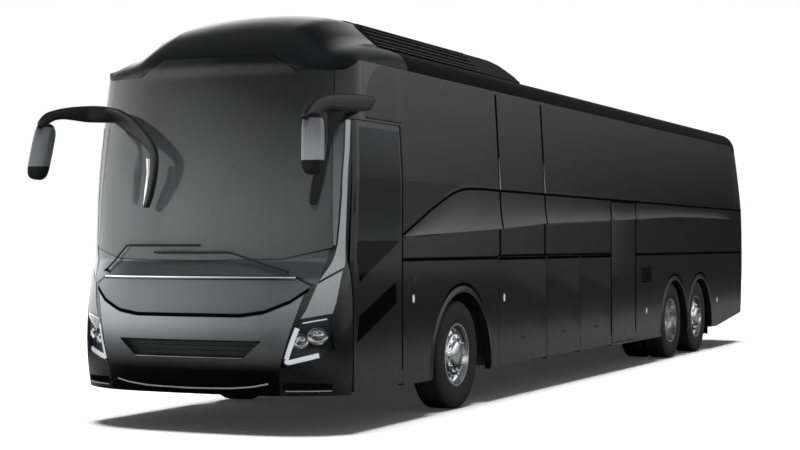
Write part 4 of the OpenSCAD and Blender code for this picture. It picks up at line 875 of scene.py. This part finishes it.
# rubber along the window's lower edge, over the flaps, and up the panel joints and door edges
def gasket(x, z, side, tall=13.0):
    return tube(join(at(x), side * sideY(z), z), (3.0, tall), power=0.7)
def upright(x, low, high, steps, side, size, out=0.5):
    z = np.linspace(low, high, steps)
    return tube(join(at(x), side * (sideY(z) + out), z), size, up=(0, side, 0), power=0.7)


midDoor = (-4755, -5812)
waist = {1: [(1380, -935, 1432, 17), (-935, -4766, 1453, 11), (-5800, -11700, 1436, 17)],
         -1: [(1380, -935, 1432, 17), (-935, -4790, 1453, 11), (-4785, -11700, 1436, 17)]}
gaskets = []
x = np.linspace(1385, -11760, 180)
for side in both:
    gaskets.append(gasket(x, np.interp(-x - frontX, -edgeX, edgeZ), side))
    gaskets += [gasket(np.linspace(x0, x1, 40), z, side, tall) for x0, x1, z, tall in waist[side]]
    gaskets += [upright(j, 1462, 3080, 24, side, (24, 2.5)) for j in belt["joints"]]
gaskets.append(upright(1388, 470, 2600, 30, 1, (8, 2.5)))
gaskets += [upright(d, 460, 2090, 30, 1, (16, 2.5)) for d in midDoor]
gaskets.append(gasket(np.linspace(*midDoor, 20), 2091, 1, 7.0))
piece("windowRubber", gaskets, rubberAndShade, sharp=50)
# dark strips along the flaps' round tops, which turn with them: painted shade under the waist seam that hides
# the tops' highlight
flapTopShade = {"ends": (-949, -2405, -3561, -4776), "post": 20, "radii": (21.2, 18.0), "inset": 20, "z": 1410}
q = np.radians(np.linspace(-8, 100, 16))
turn, r = np.concatenate([q, q[::-1]])[None], np.repeat(flapTopShade["radii"], 16)[None]
for i in range(3):
    x0, x1 = flapTopShade["ends"][i + 1] + flapTopShade["post"], flapTopShade["ends"][i] - flapTopShade["post"]
    x = np.linspace(x0, x1, 24)[:, None]
    for side, hand in hands:
        rider = "%s_flap_%d" % (hand, i + 1)
        y = side * (half - flapTopShade["inset"] + r * np.cos(turn))
        arc = join(at(x), y, flapTopShade["z"] + r * np.sin(turn))
        # painted shade on each flap's top
        piece("flapShade_" + rider, [closed(arc)], rubberAndShade, rider)
# bright silver tips that taper up the joints: painted glints
tip = {"z": (2120, 2440), "wide": (9, 1), "deep": 3.0, "out": 2.5}
slim = np.stack([np.linspace(*tip["wide"], 16), np.full(16, tip["deep"])], -1)
piece("jointGlints", [upright(j, *tip["z"], 16, side, slim, tip["out"]) for side in both
                    for j in belt["joints"]], silverAndGlints, sharp=50)


# small side fittings: latches, marker lamps, vent, cap and drip rail, as pads given by place, size and power
latch = {"x": (-1677, -2983, -4168), "z": 600, "size": (130, 34, 7)}
marker = {"spots": [(1146, 1083), (-6300, 700), (-10134, 724)], "size": (44, 76, 8)}
flapMarker, filler = (-1112, 1026, 46, 80, 8, 0.9), (1122, 1256, 70, 70, 6, 1.0)
vent = {"x": -6295, "z": np.arange(1080, 1260, 28), "size": (480, 16, 9)}
rail = {"x": (2050, 1350), "z": 2634, "under": 2628}
def pad(x, z, w, h, out, power, side):
    return pillow((at(x), side * half, z), (w / 2, out, h / 2), power, rows=12, cols=24)
for i, x in enumerate(latch["x"]):
    for side, hand in hands:
        rider = "%s_flap_%d" % (hand, i + 1)
        piece("latch_" + rider, [pad(x, latch["z"], *latch["size"], 0.55, side)], blackTrim, rider)
piece("sideMarkers", [pad(*spot, *marker["size"], 0.9, side) for spot in marker["spots"] for side in both],
      whiteLens)
for side, hand in hands:
    rider = hand + "_flap_1"
    piece("marker_" + rider, [pad(*flapMarker, side)], whiteLens, rider)
piece("sideVents", [pad(vent["x"], z, *vent["size"], 0.4, side) for z in vent["z"] for side in both],
      rubberAndShade)
piece("capSpot", [pad(*filler, side) for side in both], blackTrim)
x = np.linspace(*rail["x"], 24)
piece("dripRail", [tube(join(at(x), sideY(rail["under"]) + 4, rail["z"]), (6, 8))], blackTrim)

# pod louvres: ridges along its sloping sides
louvre = {"x": (1050, -1500), "y": (690, 900), "count": 6, "proud": 4, "size": (9, 8)}
x = np.linspace(*louvre["x"], 60)
piece("podLouvres", [tube(join(at(x), side * y, podTop(y) + louvre["proud"]), louvre["size"]) for side in both
                     for y in np.linspace(*louvre["y"], louvre["count"])], blackTrim)
print("side trims made")

# seats: crowned cushions and backs with sewn channels, headrests, shells and plinths
seatPlan = {"first": 350.0, "pitch": 860.0, "rows": 13, "deck": 1390.3, "lanes": (497, 963),
            "lean": np.radians(-15.5), "channels": ((-0.55, 0.05, 0.16), (0.55, 0.05, 0.16))}
cushions, backs, shells = [], [], []
def addSeat(x, y, z):
    tilt = seatPlan["lean"]
    cushions.append(pillow((x + 215, y, z + 372), (250, 215, 62), 0.38, -0.03, 0.16,
                           dents=seatPlan["channels"]))
    backs.append(pillow((x - 58, y, z + 690), (58, 212, 330), 0.4, tilt, rows=22))
    backs.append(pillow((x - 142, y, z + 985), (50, 140, 68), 0.5, tilt))
    shells.append(pillow((x - 92, y, z + 640), (34, 200, 310), 0.3, tilt))
for row in range(seatPlan["rows"]):
    x = at(seatPlan["first"]) - row * seatPlan["pitch"]
    for side in both:
        for lane in seatPlan["lanes"]:
            addSeat(x, side * lane, seatPlan["deck"])
        shells.append(pillow((x + 170, side * 730, seatPlan["deck"] + 150), (150, 380, 150), 0.25))
driver = (at(1250), -630.0, 960.3)
addSeat(*driver)
shells.append(pillow((driver[0] + 170, driver[1], driver[2] + 150), (150, 200, 150), 0.3))
for name, forms in (("seatCushions", cushions), ("seatBacks", backs)):
    piece(name, forms, seatCloth, sharp=0)
piece("seatShells", shells, seatShell, nodes=("seats",), sharp=0)

# cockpit: a dashboard of one rounded profile, a wheel rim on its column
prof = np.array([(2080, 965), (2235, 965), (2300, 1120), (2385, 1365), (2330, 1400), (2180, 1432),
                 (2080, 1438), (2010, 1405), (1985, 1360), (2005, 1290), (2045, 1240), (2070, 1100)], float)
dashEnds, dashRound = (-998, 398), 0.05
yy = np.linspace(*dashEnds, 40)[:, None]
edge = 1 - dashRound * np.abs((yy - np.mean(dashEnds)) / (np.ptp(dashEnds) / 2)) ** 8
mid = prof.mean(0)
dash = join(at(mid[0] + (prof[None, :, 0] - mid[0]) * edge), yy, mid[1] + (prof[None, :, 1] - mid[1]) * edge)
wheel = {"place": (at(1850), -620, 1420), "turn": np.radians(-35), "radius": 215, "grip": 15}
# a point of the steering wheel, tilted and moved to its place
def onWheel(x, y, z): return tilted(join(x, y, z), wheel["turn"]) + wheel["place"]
q, p = circle(48)[:, None], circle(12)[None, :]
reach = wheel["radius"] + wheel["grip"] * np.cos(p)
rim = onWheel(reach * np.cos(q), reach * np.sin(q), wheel["grip"] * np.sin(p))
spoke = bothWays(212, 9)
piece("dashboard", [closed(dash), surface(rim, around=True, along=True),
                    tube(onWheel(spoke, 0, 0), (16, 9)), tube(onWheel(0, spoke, 0), (16, 9)),
                    tube(onWheel(0, 0, np.array([-190, -90, 8.0])), 35, up=(0, 1, 0))],
      dashPlastic, nodes=("cockpit",))
print("inside made")

# floor, light and camera
u = bothWays(60, 25) * 1000
grid, quads = surface(join(u[:, None], u[None, :], -1.0))
mesh = bpy.data.meshes.new("studioFloor")
mesh.from_pydata((grid * 0.001).tolist(), [], [f[::-1] for f in quads])
floor = linked("studioFloor", mesh)
light = {"world": 0.14, "sky": 0.85, "horizon": 0.02, "sun": 4.6, "sunAngle": 26, "floorGlow": 0.03,
         "left": 0.52, "right": 1.7, "behind": 0.7, "beside": 0.16}
# pale floor: a little light of its own for the camera, darker in the paint's reflections, with a painted band
# of light either side of the coach that only reflections see
def floorLook(w):
    seen, gloss = w.rays()
    pale = w.noise(0.4).blend((0.93, 0.93, 0.93), (0.95, 0.95, 0.95))
    aside = w.xyz()[1].size()
    # painted reflection: a bright band beside the coach for glossy rays
    beside = light["beside"] * aside.step(1.6, 3.0) * (1 - aside.step(4.0, 8.0)) + 0.014
    return {"Base_Color": gloss.blend(pale, beside.blend((0, 0, 0), (1, 1, 1))),
            "Roughness": 0.7 + 0.1 * w.noise(2.0), "Emission_Color": seen.blend((0, 0, 0), (1, 1, 1))}
mesh.materials.append(finish("floorPale", floorLook, Specular_IOR_Level=0.0,
                             Emission_Strength=light["floorGlow"]))

world = bpy.data.worlds.new("studio")
bpy.context.scene.world = world
world.use_nodes = True
world.node_tree.nodes.clear()
w = Wire(world.node_tree)
seen, gloss = w.rays()
ahead, across, height = w.xyz(0)
sky = height.step(0.02, 0.3) * (1 - 0.9 * height.step(0.3, 0.65))
shine = light["horizon"] + (light["sky"] - light["horizon"]) * sky
# behind the coach the sky gives way to a soft panel that only its rear and far side see
behind = (ahead * -1.0).step(0.3, 0.7)
shine = shine * (1 - behind * (1 - across.step(0.08, 0.26)))
shine = shine + light["behind"] * behind * (1 - across.step(-0.1, 0.12)) * (1 - height.step(0.35, 0.8))
# paint also sees a soft panel on either side, low down
left = across.step(0.24, 0.6) * (1 - 0.85 * ahead.step(-0.3, 0.4)) * (1 - height.step(0.3, 0.7))
right = (across * -1.0).step(0.3, 0.8) * (1 - height.step(0.2, 0.6))
shine = shine + light["left"] * left + light["right"] * right
level = seen * 1.0 + (1 - seen) * (gloss * shine + (1 - gloss) * light["world"])
w.add("ShaderNodeOutputWorld", Surface=w.add("ShaderNodeBackground", Color=(1, 1, 1, 1), Strength=level))

data = bpy.data.lights.new("overhead", "SUN")
data.energy, data.angle = light["sun"], np.radians(light["sunAngle"])
sun = linked("overhead", data)
sun.location = (0, 0, 14)
sun.rotation_euler = Vector((-0.08, 0.0, -1)).to_track_quat("-Z", "Y").to_euler()
sun.visible_glossy = False

view = {"place": (18.928, 7.233, 1.571), "yaw": 204.52, "pitch": 0.66, "lens": 73.67}
yaw, pitch = np.radians(view["yaw"]), np.radians(view["pitch"])
gaze = Vector((np.cos(pitch) * np.cos(yaw), np.cos(pitch) * np.sin(yaw), np.sin(pitch)))
data = bpy.data.cameras.new("photoView")
data.lens, data.sensor_width, data.sensor_fit, data.clip_end = view["lens"], 36, "HORIZONTAL", 300
camera = linked("photoView", data)
camera.location = view["place"]
camera.rotation_euler = gaze.to_track_quat("-Z", "Y").to_euler()
bpy.context.scene.camera = camera
bpy.context.scene.view_settings.view_transform = "Standard"

print("scene ready")
